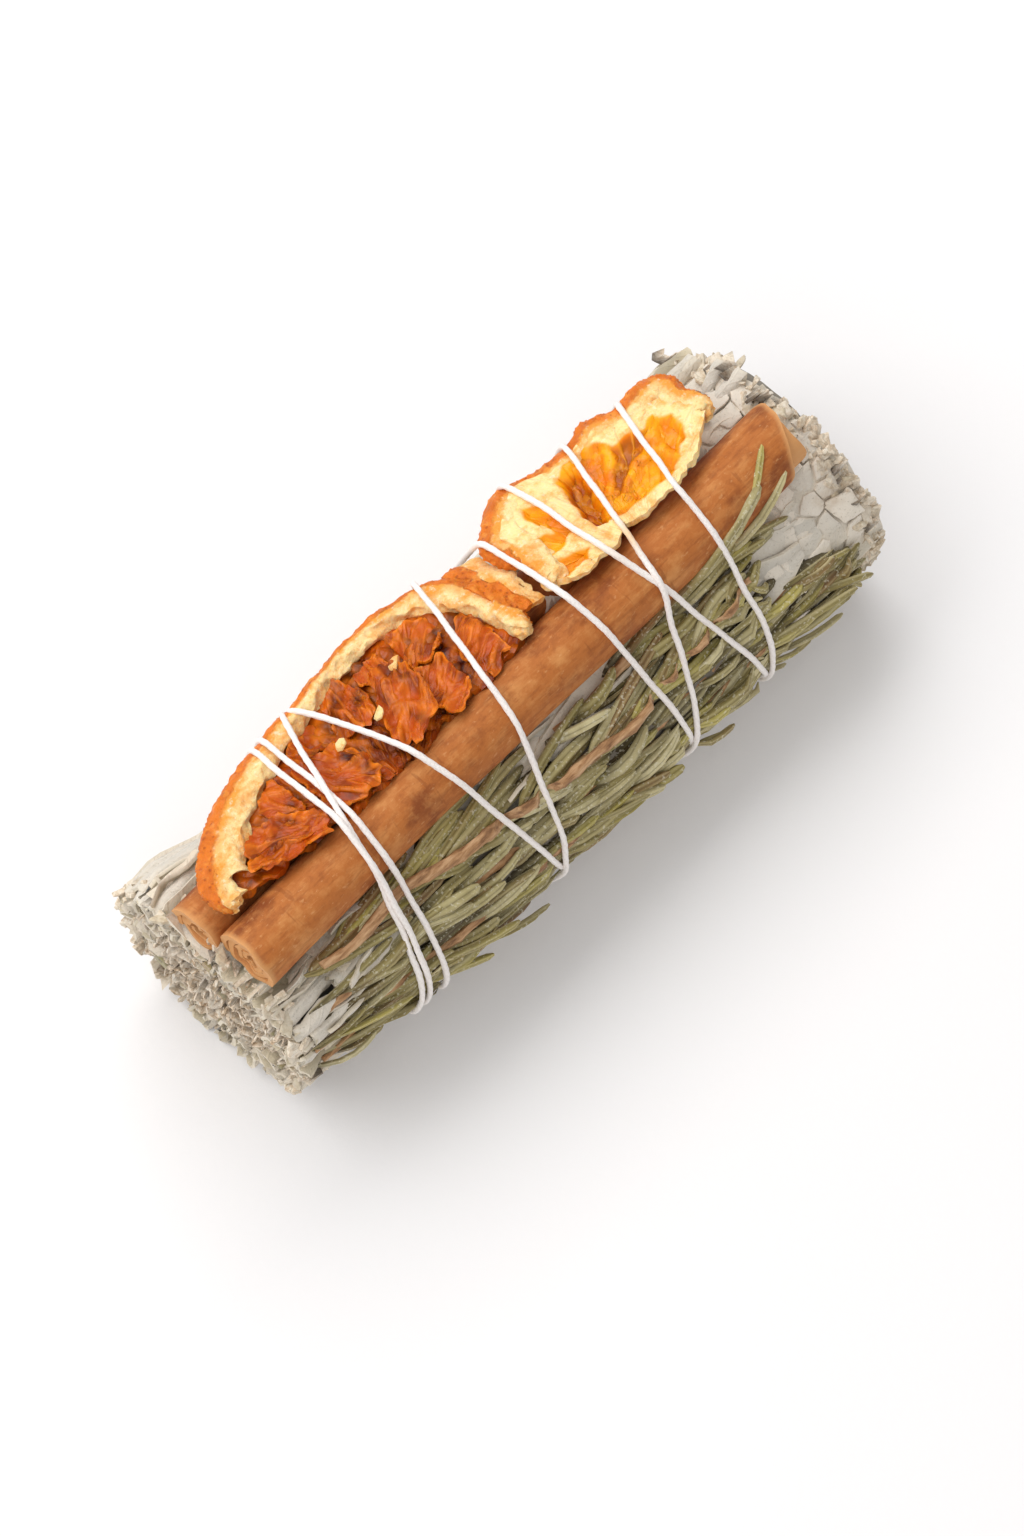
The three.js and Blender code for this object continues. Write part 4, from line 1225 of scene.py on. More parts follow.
def rind_band(piece, thickness, seed, skins):
    """Peel and pith round a slice: an uneven band, puckered on its outer side and torn at both tips."""
    edge, inward, widths, run = slice_edge(piece, 360)
    around = circle(36)
    rings, peels, stains = [], [], []
    for i, (width, at) in enumerate(zip(widths, run)):
        share = at / run[-1]
        from_tip = min(at, run[-1] - at)
        taper = 0.35 + 0.65 * smooth(from_tip, 0, 1.3)
        half, tall = width / 2 * taper, thickness / 2 * taper
        aside = -np.sign(np.cos(around)) * np.abs(np.cos(around)) ** 0.6 * half
        height = np.sign(np.sin(around)) * np.abs(np.sin(around)) ** 0.75 * tall
        flat = edge[i] + inward[i] * (width / 2 + aside)[:, None]
        place = np.column_stack([flat, 2 * height])
        outside = smooth(-aside, 0.2 * half, half)
        inside = smooth(aside, 0, half)
        pucker = 0.13 * waves(place, 2.2, seed) + 0.25 * waves(place, 6, seed + 1)
        pucker = pucker + 0.05 * waves(place, 1.0, seed + 4)
        ragged = (0.3 * waves(place, 3.2, seed + 2) + 0.08 * waves(place, 1.3, seed + 3)) * inside
        ragged = ragged - 0.32 * ridges(place, 2.2, seed + 5) * outside
        torn = 0.5 * waves(place, 1.5, seed + 6) * smooth(from_tip, 2.5, 0)
        flat = flat + inward[i] * (ragged + 0.4 * pucker)[:, None]
        flat = flat + inward[i][::-1] * (-1, 1) * torn[:, None]
        height = height + pucker + 0.25 * math.sin(9 * share + seed)
        rings.append(drape_point(piece, flat[:, 0], flat[:, 1], height))
        skin = np.interp(share, *skins) * smooth(from_tip, 1.5, 5.5)
        peels.append(smooth(-aside, half - 1.5 * skin, half - 0.5 * skin))
        stains.append(smooth(-aside, -0.5 * half, half - skin) * smooth(from_tip, 0.5, 3))
    return loft(np.array(rings), peel=np.array(peels), stain=np.array(stains))


def outline_distance(along, deep, corners):
    """How far places lie outside an outline, less than zero inside it."""
    spots = np.stack([along, deep], -1)
    best = np.full(len(spots), 1e9)
    inside = np.zeros(len(spots), bool)
    for a, b in zip(corners, corners[1:] + corners[:1]):
        span = np.subtract(b, a)
        share = np.clip((spots - a) @ span / (span @ span), 0, 1)
        best = np.minimum(best, np.linalg.norm(spots - a - share[:, None] * span, axis=1))
        crosses = (spots[:, 1] < a[1]) != (spots[:, 1] < b[1])
        at = a[0] + (spots[:, 1] - a[1]) * span[0] / (span[1] or 1e-9)
        inside ^= crosses & (spots[:, 0] < at)
    return np.where(inside, -best, best)


def flesh_bed(form, piece, seed, rise, **values):
    """The flesh of a slice as one crumpled sheet under the rind, ragged along its straight edge."""
    edge, inward, widths, run = slice_edge(piece, 200)
    rim = edge + inward * (0.55 * widths)[:, None]
    at = run / run[-1]

    def place(u, v):
        share = (u + 1) / 2
        away = read_line(share, at, rim) - piece["middle"]
        along, deep = (piece["middle"] + away * np.clip(v, 0.01, 1)[:, None]).T
        flat = flat_points(along, deep)
        straight = smooth(np.abs(u), 0.9, 1) * np.sin(np.pi * np.clip(v, 0, 1)) ** 0.7
        ragged = 0.5 * waves(flat, 4.5, seed + 5) + 0.2 * waves(flat, 1.6, seed + 6)
        return along, deep - straight * (np.where(u > 0, *piece["bulge"][::-1]) + ragged), flat

    def grain(u, v):
        along, deep = place(u, v)[:2]
        return np.arctan2(along - piece["middle"][0], deep + 4) * 12 * MM

    def surface(u, v):
        along, deep, flat = place(u, v)
        return drape_point(piece, along, deep, rise(along, deep, flat))

    carried = {}
    for name, value in values.items():
        def here(u, v, value=value):
            return np.clip(value(*place(u, v)), 0, 1)
        carried[name] = here
    return wall_sheet(form, surface, 0.9, across=grain, along=lambda u, v: v * 14 * MM, **carried)


def flesh_plate(form, draw, piece, height, corners):
    """A torn part of a juice segment, dried to a thin wrinkled plate that lifts at its edges."""
    seed = int(draw.integers(1e6))
    corners = np.array(corners)
    centre = corners.mean(0)
    tilt = draw.uniform(-0.07, 0.07, 2)
    curl = draw.uniform(-0.3, 0.7, 4)
    outline = outline_points(corners, 12) - centre
    turns = np.arctan2(outline[:, 1], outline[:, 0])
    order = turns.argsort()
    turns, reach = turns[order], np.hypot(*outline.T)[order]
    fibre = unit(centre - (piece["middle"][0], piece["middle"][1] - 4))

    def place(u, v):
        w = 2 * v - 1
        far = np.maximum(np.abs(u), np.abs(w))
        turn = np.arctan2(w, u)
        out = far * np.interp(turn, turns, reach, period=2 * np.pi)
        flat = flat_points(out * np.cos(turn), out * np.sin(turn))
        ragged = 1 + (0.08 * waves(flat, 3.5, seed) + 0.05 * waves(flat, 1.3, seed + 5)) * far
        return flat * ragged[:, None], far

    def across(flat):
        return flat[:, 0] * fibre[1] - flat[:, 1] * fibre[0]

    def down(flat):
        return flat[:, :2] @ fibre

    def folds(flat):
        run = flat_points(across(flat) + 0.5 * waves(flat, 4, seed + 6), 0.3 * down(flat))
        return ridges(run, 3.0, seed + 1)

    def surface(u, v):
        flat = place(u, v)[0]
        w = 2 * v - 1
        edges = np.clip([u, -u, w, -w], 0, 1)
        rise = height + flat[:, :2] @ tilt + (curl[:, None] * edges ** 4).sum(0)
        rise = rise + 0.5 * folds(flat) + 0.35 * waves(flat, 5, seed + 4) + 0.35 * ridges(flat, 4, seed + 2)
        return drape_point(piece, centre[0] + flat[:, 0], centre[1] + flat[:, 1], rise - 0.8)

    # Paler thin flesh with a painted glow along parts of the edge, and painted highlights on the fold tops.
    def thin(u, v):
        flat, far = place(u, v)
        rim = smooth(far, 0.88, 1) * smooth(waves(flat, 3, seed + 8), -0.5, 0.6)
        return np.clip(0.8 * rim + 0.45 * folds(flat) ** 2, 0, 1)

    # Painted shade, darker in scattered patches.
    def pit(u, v):
        return np.clip(0.2 - 0.5 * waves(place(u, v)[0], 4, seed + 3), 0, 0.7)

    def fibre_across(u, v):
        return (across(place(u, v)[0]) + seed % 97) * MM

    def fibre_along(u, v):
        return down(place(u, v)[0]) * MM

    return wall_sheet(
        form, surface, 0.3, thin=thin, pit=pit, amber=1.0, across=fibre_across, along=fibre_along)


def rind_flap(form, seed):
    """A loose strip of rind at the near slice's far end: red-brown peel on one side, cream on the other."""
    def place(u, v):
        share = (u + 1) / 2
        left, right = 23.2 + 1.9 * share ** 2, 27.8 + 2.0 * share - 1.2 * share ** 4
        along, deep = left + (right - left) * v, 14.0 - 11.4 * share
        return along, deep, flat_points(along, deep)

    def surface(u, v):
        along, deep, flat = place(u, v)
        bumps = 0.25 * waves(flat, 3.5, seed) + 0.3 * ridges(flat, 2.4, seed + 4) * smooth(v, 0.6, 0.3)
        ragged = (0.4 * waves(flat, 3, seed + 1) + 0.2 * waves(flat, 1.2, seed + 3)) * smooth(v, 0.5, 1)
        return drape_point(NEAR_SLICE, along + ragged, deep, 0.7 - 0.9 * v * v + bumps - 0.5 * u * u)

    def peel(u, v):
        return smooth(v + 0.12 * waves(place(u, v)[2], 2.2, seed + 2), 0.6, 0.44)

    return wall_sheet(form, surface, 0.9, peel=peel, stain=lambda u, v: 0.3 + 0.5 * smooth(v, 0.8, 0.4))


def crumb(draw, piece, along, deep, height):
    """A pale crumb of pith, or a seed, lying on a slice."""
    around = circle(7)
    size = draw.uniform(0.45, 0.8) * draw.uniform(0.6, 1.3, 7)
    rings = []
    for share, rise in ((0.7, 0), (1, 0.15), (0.9, 0.35), (0.3, 0.42)):
        at = along + 1.5 * share * size * np.cos(around)
        down = deep + share * size * np.sin(around)
        rings.append(drape_point(piece, at, down, height + rise + 0.4 * (at - along)))
    return loft(np.array(rings))


def rind_finish(settings):
    """Dried orange rind: porous cream pith that takes up colour near the peel, and pored peel outside."""
    rind = Finish(
        "Dried rind", 0.62, Specular_IOR_Level=0.35, Subsurface_Weight=0.15, Subsurface_Scale=0.001,
        Subsurface_Radius=(1.0, 0.5, 0.2))
    mottle = rind.step(rind.noise(3.4, 5, 0.7), 0.42, 0.66, -0.1, 0.75)
    fine = rind.noise(0.8, 4, 0.7)
    soaked = rind.math("MULTIPLY_ADD", rind.value("stain"), 0.85, mottle)
    pith = rind.layers(
        rind.mix(soaked, settings.pith, settings.pith_stain),
        (paint(232, 150, 58), fine, 0.34, 0.48, 0.5, 0),
        (paint(255, 240, 208), fine, 0.54, 0.7, 0, 0.6))
    pores = rind.cells(0.8)
    blush = rind.step(rind.noise(2.2, 4, 0.6), 0.36, 0.6)
    peel = rind.layers(
        rind.mix(blush, rind.mix(0.35, settings.peel, settings.peel_dark), settings.peel),
        (settings.pith_stain, rind.noise(1.2), 0.52, 0.66, 0, 0.5),
        (settings.peel_dark, pores, 0.12, 0.3, 0.6, 0))
    edge = rind.math("ADD", rind.value("peel"), rind.math("MULTIPLY_ADD", rind.noise(0.9), 0.8, -0.4))
    skin = rind.step(edge, 0.25, 0.75)
    colour = rind.mix(skin, pith, peel)
    normal = rind.bump(rind.math("MULTIPLY", pores, skin), 0.45, 0.9)
    normal = rind.bump(rind.noise(0.5, 4, 0.7), 0.35, 0.8, normal)
    roughness = rind.math("MULTIPLY_ADD", skin, -0.2, 0.7)
    return rind.done(colour, normal, roughness)


def flesh_finish(name, settings, dark, mid, thin):
    """Dried flesh, wrinkled along its fibres: painted shade in hollows, paler where thin with a painted
    glow, painted highlights on wrinkles, and pale membranes.
    """
    flesh = Finish(
        name, 0.3, Coat_Weight=0.05, Coat_Roughness=0.1, Specular_IOR_Level=0.25, Subsurface_Weight=0.2,
        Subsurface_Scale=0.001, Subsurface_Radius=(1.0, 0.4, 0.1))
    fibres = flesh.tree.nodes.new("ShaderNodeCombineXYZ")
    flesh.feed(fibres.inputs["X"], flesh.value("across"))
    flesh.feed(fibres.inputs["Y"], flesh.part("along", 0.28))
    fibres = fibres.outputs["Vector"]
    broad = flesh.crease(2.4, 2, 0.5, fibres, 0.8)
    narrow = flesh.crease(1.1, 2, 0.5, fibres, 0.6)
    # The wrinkles' tops carry relief and a painted highlight.
    crest_relief_and_highlight = flesh.math("MAXIMUM", flesh.step(broad, 0, 0.09, 1, 0), flesh.step(narrow, 0, 0.06, 0.35, 0))
    cloud = flesh.step(flesh.noise(3.2, 4, 0.6), 0.42, 0.7, -0.1, 0.45)
    # Painted shade where a point carries it, added to darker tone in soft clouds.
    shade = flesh.math("MULTIPLY_ADD", flesh.value("pit"), 0.9, cloud)
    colour = flesh.mix(shade, mid, dark)
    # Painted highlights on the wrinkles' tops, and a painted glow where the flesh is thin and paler.
    bright = flesh.math("MULTIPLY_ADD", crest_relief_and_highlight, 0.4, flesh.value("thin"))
    colour = flesh.mix(bright, colour, thin)
    pith = flesh.layers(
        settings.pith,
        (settings.pith_stain, flesh.noise(2.6, 5, 0.7), 0.42, 0.66, 0, 0.8),
        (paint(255, 240, 208), flesh.noise(0.8, 4, 0.7), 0.54, 0.7, 0, 0.5))
    colour = flesh.mix(flesh.step(flesh.value("amber"), 0.25, 0.75), pith, colour)
    normal = flesh.bump(crest_relief_and_highlight, 0.2, 0.7)
    normal = flesh.bump(flesh.noise(0.5, 4, 0.65), 0.06, 0.6, normal)
    shine = flesh.step(flesh.value("amber"), 0.2, 0.8, 0.7, 0.3)
    return flesh.done(colour, normal, shine)


class SMUDGE_OT_slices(bpy.types.Operator):
    """Makes the two dried orange slices, each of rind and flesh"""

    bl_idname = "smudge.slices"
    bl_label = "Orange slices"

    def execute(self, context):
        settings = context.scene.smudge_orange
        self.form = SheetForm(200, 60)
        self.plate_form = SheetForm(34, 34)
        self.draw = np.random.default_rng(77)
        rind = rind_finish(settings)
        make_piece("orange_rind_near", self.near_rind(), rind, "orange_rind", "orange_near_rind")
        make_piece("orange_rind_far", self.far_rind(), rind, "orange_rind", "orange_far_rind")
        dark = flesh_finish(
            "Dark dried flesh", settings, settings.near_dark, settings.near_mid, settings.near_thin)
        make_piece("orange_flesh_near", self.near_flesh(), dark, "orange_pulp_dark", "orange_near_pulp")
        amber = flesh_finish(
            "Amber dried flesh", settings, settings.far_dark, settings.far_mid, settings.far_thin)
        make_piece("orange_flesh_far", self.far_flesh(), amber, "orange_pulp_light", "orange_far_pulp")
        return {"FINISHED"}

    def near_rind(self):
        """The near slice's rind with its loose strip and three crumbs."""
        skins = (0, 0.1, 0.3, 0.4, 0.7, 0.8, 1), (1.6, 2.4, 1.6, 1.1, 1.0, 1.2, 0.9)
        shapes = [rind_band(NEAR_SLICE, 2.5, 4, skins), rind_flap(self.plate_form, 8)]
        for spot in ((10.3, 9.4, 1.3), (-1.8, 6.8, 0.8), (4.0, 5.6, 1.6)):
            shapes.append(crumb(self.draw, NEAR_SLICE, *spot))
        return shapes

    def far_rind(self):
        """The far slice's rind and one seed."""
        skins = (0, 0.08, 0.12, 0.3, 0.5, 0.75, 0.85, 1), (0, 0, 1.9, 1.8, 1.6, 1.6, 1.2, 0.2)
        return [rind_band(FAR_SLICE, 2.5, 14, skins), crumb(self.draw, FAR_SLICE, 3.0, 9.8, 0.2)]

    def near_flesh(self):
        """A bed of fibres that run out from the middle, painted dark with shade, with torn plates on it."""
        def rise(along, deep, flat):
            return 0.5 * ridges(flat, 6, 22) + 0.25 * waves(flat, 2, 23) - 1.3

        # Paler thin flesh with a painted glow along scattered ridge lines.
        def thin(along, deep, flat):
            return 0.35 * ridges(flat, 5, 25)

        # Painted shade over the whole bed, which lies under the plates.
        def pit(along, deep, flat):
            return 0.75 - 0.4 * waves(flat, 6, 24)

        def amber(along, deep, flat):
            return 1 + 0 * along

        shapes = [flesh_bed(self.form, NEAR_SLICE, 21, rise, thin=thin, pit=pit, amber=amber)]
        for height, *corners in NEAR_PLATES:
            shapes.append(flesh_plate(self.plate_form, self.draw, NEAR_SLICE, height, corners))
        return shapes

    def far_flesh(self):
        """Cells of amber flesh sunk between pale membranes and thin amber walls with a painted glow, round a
        hollow with painted shade.
        """
        def cells(along, deep, flat):
            bent = along + 0.2 * waves(flat, 2.4, 45), deep + 0.2 * waves(flat, 2.4, 46)
            found = []
            for sunk, light, *corners in FAR_CELLS:
                found.append((sunk, light, outline_distance(*bent, corners) - 0.3))
            return found, outline_distance(*bent, list(FAR_AMBER))

        def rise(along, deep, flat):
            found, region = cells(along, deep, flat)
            height = 0.75 + 0.2 * waves(flat, 6, 43) + 0.06 * waves(flat, 1.8, 42)
            height = height - 0.6 * smooth(region, 0.2, -1.0)
            for sunk, _, apart in found:
                height = height - sunk * smooth(apart, 0.2, -0.8)
            return height + 0.22 * ridges(flat, 2.6, 48) * smooth(region, 0, -0.8)

        def amber(along, deep, flat):
            found, region = cells(along, deep, flat)
            inside = np.max([smooth(apart, 0.3, -0.3) for *_, apart in found], axis=0)
            return np.maximum(inside, smooth(region, 0.3, -0.3))

        # Painted glow: brightest in the lit cells and along the thin walls between them.
        def thin(along, deep, flat):
            found = cells(along, deep, flat)[0]
            wall = smooth(np.min([apart for *_, apart in found], axis=0), -0.35, 0)
            glow = [light * smooth(apart, 0.2, -0.5) for _, light, apart in found]
            return np.maximum(np.max(glow, axis=0), 0.75 * wall) * (0.75 + 0.45 * waves(flat, 3, 47))

        # Painted shade in the cells with the least glow, and in patches over the amber part.
        def pit(along, deep, flat):
            found, region = cells(along, deep, flat)
            hole = [smooth(light, 0.5, 0) * smooth(apart, 0.3, -1.2) for _, light, apart in found]
            return np.max(hole, axis=0) + 0.25 * smooth(region, 0, -1) * waves(flat, 4, 49)

        return [flesh_bed(self.form, FAR_SLICE, 41, rise, thin=thin, pit=pit, amber=amber)]


def route_angle(route, x):
    """The angle of a sprig's stem at one place along the bundle."""
    return np.interp(x, *np.transpose(route))


def lean_limit(index, x, side):
    """How far a sprig's needles may lean: about half way to the next stem, on either side."""
    neighbour = index - side
    if not 0 <= neighbour < len(ROSEMARY_ROUTES) or x < ROSEMARY_ROUTES[neighbour][0][0] - 4:
        return ROSEMARY_UPPER if side > 0 else ROSEMARY_LOWER
    return (route_angle(ROSEMARY_ROUTES[index], x) + route_angle(ROSEMARY_ROUTES[neighbour], x)) / 2


class NeedleForm:
    """One rosemary needle in unit coordinates: rolled margins, a groove above and a blunt tip."""

    def __init__(self):
        around = circle(10)
        self.share = np.array([0, 0.08, 0.22, 0.42, 0.62, 0.8, 0.94, 1])[:, None]
        belly = np.array([0.38, 0.82, 1.0, 1.0, 0.98, 0.92, 0.80, 0.34])[:, None]
        groove = 1 - 0.62 * np.exp(-((np.cos(around) / 0.34) ** 2)) * (np.sin(around) > 0)
        self.across = belly * np.cos(around)
        self.height = belly * np.sin(around) * groove
        self.face = np.cos(around)
        self.under = np.sin(around) < -0.3


def rosemary_needle(form, draw, settings, foot, tip, stem, base, flare):
    """One needle bent from its foot on the stem to its tip."""
    half = settings.needle_width / MM / 2 * draw.uniform(0.7, 1.25)
    thick = half * draw.uniform(0.6, 0.85)
    roll = draw.uniform(-0.9, 0.9) + draw.uniform(-0.8, 0.8) * form.share
    bow, arch = draw.uniform(-3.5, 3.5), draw.uniform(-0.2, 0.8)
    share = form.share
    x = foot[0] + (tip[0] - foot[0]) * share
    degrees = foot[1] + (tip[1] - foot[1]) * share ** 0.75 + bow * np.sin(np.pi * share)
    aside = half * form.across * np.cos(roll) - thick * form.height * np.sin(roll)
    rise = half * form.across * np.sin(roll) + thick * form.height * np.cos(roll)
    height = base + (stem - base - NEEDLE_SINK) * (1 - share) ** 2 + arch * np.sin(np.pi * share)
    height = height + flare * share ** 1.6 + rise
    turn = degrees - np.degrees(aside / bundle_radius(x))
    rings = on_bundle(x, turn, height - hollow(x, turn))
    middles = rings.mean(1)
    rings = rings + (clear_of_quills(middles.copy()) - middles)[:, None]
    # Painted shade on the parts of a needle that lie low, near the bundle.
    deep = smooth(height, 2.3, 0.5)
    return loft(rings, tint=draw.uniform(0, 1), across=form.face, under=form.under, deep=deep)


def rosemary_stem(draw, route, settings, base):
    """A woody stem with a swollen node wherever needles leave it."""
    length = route[-1][0] - route[0][0]
    x = np.linspace(route[0][0], route[-1][0], int(length / 0.7))
    around = circle(9)
    place = flat_points(x, 0 * x)
    seed = int(draw.integers(1e6))
    taper = 1 - 0.45 * smooth(np.linspace(0, 1, len(x)), 0.4, 1) - 0.3 * smooth(x, x[0] + 12, x[0])
    nodes = 0.22 * np.clip(np.sin(2 * np.pi * x / 4.6), 0, 1) ** 4
    radius = settings.stem_radius / MM * (taper + nodes + 0.08 * waves(place, 3, seed))
    degrees = route_angle(route, x) + 1.1 * waves(place, 17, seed + 1)
    height = base + 0.25 * waves(place, 12, seed + 2)
    flutes = 1 + 0.07 * np.sin(3 * around) + 0.05 * np.sin(5 * around + x[:, None])
    aside = radius[:, None] * flutes * np.cos(around)
    rise = radius[:, None] * flutes * np.sin(around)
    turn = degrees[:, None] - np.degrees(aside / bundle_radius(x)[:, None])
    rings = on_bundle(x[:, None], turn, height[:, None] + rise - hollow(x[:, None], turn))
    return loft(rings, tint=0.5, across=0.5, stem=1.0)


def rosemary_finish(settings):
    """Dried rosemary: olive needles with painted shade in the groove and low down, pale flecks, felted
    below, on woody stems.
    """
    leaf = Finish("Dried rosemary", 0.55, Specular_IOR_Level=0.4)
    tint = leaf.math("ADD", leaf.value("tint"), leaf.math("MULTIPLY_ADD", leaf.noise(5), 0.3, -0.15))
    colour = leaf.ramp(
        tint, (0.0, settings.brown), (0.16, settings.olive), (0.42, settings.olive), (0.62, settings.pale),
        (0.78, settings.olive), (0.97, settings.yellow))
    aside = leaf.math("ABSOLUTE", leaf.value("across"))
    shine = leaf.math("ABSOLUTE", leaf.math("SUBTRACT", aside, 0.5))
    # Painted highlight on both sides of the groove, painted shade in the groove and on the rolled margins.
    colour = leaf.layers(
        colour,
        (paint(118, 104, 60), leaf.noise(2.2, 4, 0.6), 0.3, 0.55, 0.35, 0),
        (paint(204, 190, 138), shine, 0.0, 0.3, 0.35, 0),
        (paint(84, 70, 30), aside, 0.03, 0.2, 0.45, 0),
        (paint(112, 98, 58), aside, 0.78, 1.0, 0, 0.45))
    # Painted shade on the low parts of the needles.
    colour = leaf.mix(leaf.part("deep", 0.92), colour, paint(44, 30, 10))
    flecks = leaf.step(leaf.noise(0.45, 2, 0.6), 0.56, 0.68, 0, 0.5)
    colour = leaf.mix(flecks, colour, paint(226, 220, 196))
    colour = leaf.mix(leaf.part("under", 0.85), colour, settings.pale)
    grain = leaf.noise(0.8, 4, 0.65, leaf.stretched(0.2, 1, 1))
    wood = leaf.ramp(grain, (0.36, paint(126, 88, 56)), (0.5, settings.stem), (0.66, paint(206, 166, 124)))
    colour = leaf.mix(leaf.value("stem"), colour, wood)
    normal = leaf.bump(leaf.noise(0.3, 3, 0.7), 0.09, 0.8)
    normal = leaf.bump(grain, 0.12, 0.5, normal)
    return leaf.done(colour, normal)


class SMUDGE_OT_rosemary(bpy.types.Operator):
    """Makes the five rosemary sprigs, each a stem with its needles"""

    bl_idname = "smudge.rosemary"
    bl_label = "Rosemary sprigs"

    def execute(self, context):
        settings = context.scene.smudge_rosemary
        material = rosemary_finish(settings)
        form = NeedleForm()
        for index, route in enumerate(ROSEMARY_ROUTES):
            draw = np.random.default_rng(60 + index)
            stem = rosemary_stem(draw, route, settings, STEM_HEIGHTS[index])
            shapes = under_string([stem] + self.needles(form, draw, settings, index, route), context)
            make_piece(f"rosemary_{index + 1}", shapes, material, "rosemary", f"rosemary_sprig_{index + 1}")
        return {"FINISHED"}

    def needles(self, form, draw, settings, index, route):
        """Needles on both sides of a stem, in layers. The lowest sprigs' tips stand off the bundle."""
        spacing = settings.spacing / MM
        shapes = []

        def add(x, tip, base, flare):
            foot = x, route_angle(route, x)
            needle = rosemary_needle(form, draw, settings, foot, tip, STEM_HEIGHTS[index], base, flare)
            shapes.append(needle)

        for i in range(int((route[-1][0] - route[0][0] + 3) / spacing)):
            x = route[0][0] - 3 + (i + draw.uniform(0, 1)) * spacing
            side = 1 if i % 2 else -1
            length = settings.needle_length / MM * draw.uniform(0.65, 1.25)
            end = min(x + length, route[-1][0] + draw.uniform(3, 10), draw.uniform(*NEEDLE_ENDS[index]))
            lean = route_angle(route, end)
            lean = lean + (lean_limit(index, end, side) - lean) * draw.uniform(0.1, 1.1)
            # sage shows above the lower sprigs' tips
            if index > 1 and end > 30:
                lean = min(lean, -48 - 1.6 * (end - 30))
            # the second stem shows, so the needles along it lie low
            base = draw.uniform(0.0, 1.3 if index == 1 and x < 14 else 2.3)
            flare = draw.uniform(-0.6, 0.5)
            if index >= 3 and side < 0:
                flare = draw.uniform(-0.2, 2.4)
            # sage shows beside the middle of the quill
            if index < 2 and side > 0 and -16 < x < 4 and draw.random() < 0.7:
                continue
            add(x, (end, lean), base, flare)
        for sprig, x, lean, base, flare in LOOSE_NEEDLES:
            if sprig == index:
                add(x, (x + LOOSE_NEEDLE_LENGTH, lean), base, flare)
        return shapes


def taut_points(x, degrees, radius):
    """Where a taut string lies on the bundle's sections when it faces the given angles."""
    out_y, out_z = np.sin(np.radians(degrees)), np.cos(np.radians(degrees))
    circles = [(0 * x, AXIS_HEIGHT + 0 * x, bundle_radius(x) + LEAF_TOP - hollow(x, degrees), x == x)]
    for quill in (FRONT_QUILL, BACK_QUILL):
        beside = (x > quill["from"]) & (x < quill["to"])
        circles.append((quill["y"] + 0 * x, quill["z"] + 0 * x, quill_radius(quill, x), beside))
    for piece in (NEAR_SLICE, FAR_SLICE):
        along = x - piece["x"]
        ends = [knot[0] for knot in piece["edge"]]
        beside = (along > min(ends) - 0.5) & (along < max(*ends, piece["flap"][1]) + 0.5)
        on_flap = (along > piece["flap"][0]) & (along < piece["flap"][1])
        depth = np.where(on_flap, piece["flap"][2], slice_depth(piece, along) - 1.2)
        for i in range(9):
            spot = drape_point(piece, along, depth * i / 8, 0)
            circles.append((spot[:, 1], spot[:, 2], SLICE_BAR + 0 * x, beside))
    for angle in np.arange(ROSEMARY_UPPER, ROSEMARY_LOWER, -4):
        spot = on_bundle(x, angle, NEEDLE_BAR_HEIGHT)
        circles.append((spot[:, 1], spot[:, 2], NEEDLE_BAR + 0 * x, x == x))
    y, z, size, there = (np.array(row) for row in zip(*circles))
    reach = np.where(there, y * out_y + z * out_z + size, -1e9)
    best = reach.argmax(0), np.arange(len(x))
    far = size[best] + radius
    height = np.maximum(z[best] + far * out_z, radius + FLOOR_CLEARANCE)
    return np.stack([x, y[best] + far * out_y, height], -1)


def string_line(radius):
    """The string's centre line: it goes round and round, and between the named places it runs straight."""
    named = [(-KNOT_ANGLE, KNOT_X)]
    for i, (back, top, front) in enumerate(TURNS):
        named += [(360 * i - BACK_EDGE, back), (360 * i, top), (360 * i + FRONT_EDGE, front)]
    named.append((360 * len(TURNS) - KNOT_ANGLE, KNOT_X))
    at, places = np.array(named, float).T
    turns = np.linspace(at[0], at[-1], int((at[-1] - at[0]) / 4) + 1)
    points = taut_points(np.interp(turns, at, places), -turns, radius)
    for _ in range(3):
        run = run_along(points[:, 1:])
        placed = np.interp(at, turns, run)
        points = taut_points(np.interp(run, placed, places), -turns, radius)
    return even_run(points, 0.5)


def even_run(points, step):
    """The same line with points evenly spaced."""
    run = run_along(points)
    at = np.linspace(0, run[-1], int(run[-1] / step))
    return read_line(at, run, points)


def blurred(values, width):
    """Values smoothed along a line."""
    reach = np.arange(-3 * width, 3 * width + 1)
    weights = np.exp(-0.5 * (reach / width) ** 2)
    weights = weights / weights.sum()
    padded = np.pad(values, [(3 * width, 3 * width)] + [(0, 0)] * (values.ndim - 1), mode="edge")
    return np.apply_along_axis(np.convolve, 0, padded, weights, "valid")


def lift_over(points, radius):
    """Where a later stretch meets an earlier one it passes over it."""
    lifts = np.zeros(len(points))
    apart = 60
    reach = 2.6 * radius
    for i in range(apart, len(points)):
        offset = points[:i - apart] - points[i]
        near = np.linalg.norm(offset, axis=1)
        close = near < reach
        if close.any():
            hump = np.sqrt(np.clip(1 - (near[close] / reach) ** 2, 0, 1))
            lifts[i] = (hump * (lifts[:i - apart][close] + 2.05 * radius)).max()
    lifts = np.maximum(blurred(lifts, 3), lifts * 0.9)
    lifts = blurred(lifts, 3)
    outward = points * (0, 1, 1) - (0, 0, AXIS_HEIGHT)
    under = np.where(points[:, 2] < AXIS_HEIGHT / 2, -0.6, 1)
    return points + unit(outward) * (lifts * under)[:, None]


def wound_line(radius):
    """The whole wound string's centre line, a little uneven."""
    line = lift_over(blurred(string_line(radius), 2), radius)
    return line + 0.10 * np.stack([waves(line, 9, seed) for seed in (81, 82, 83)], -1)


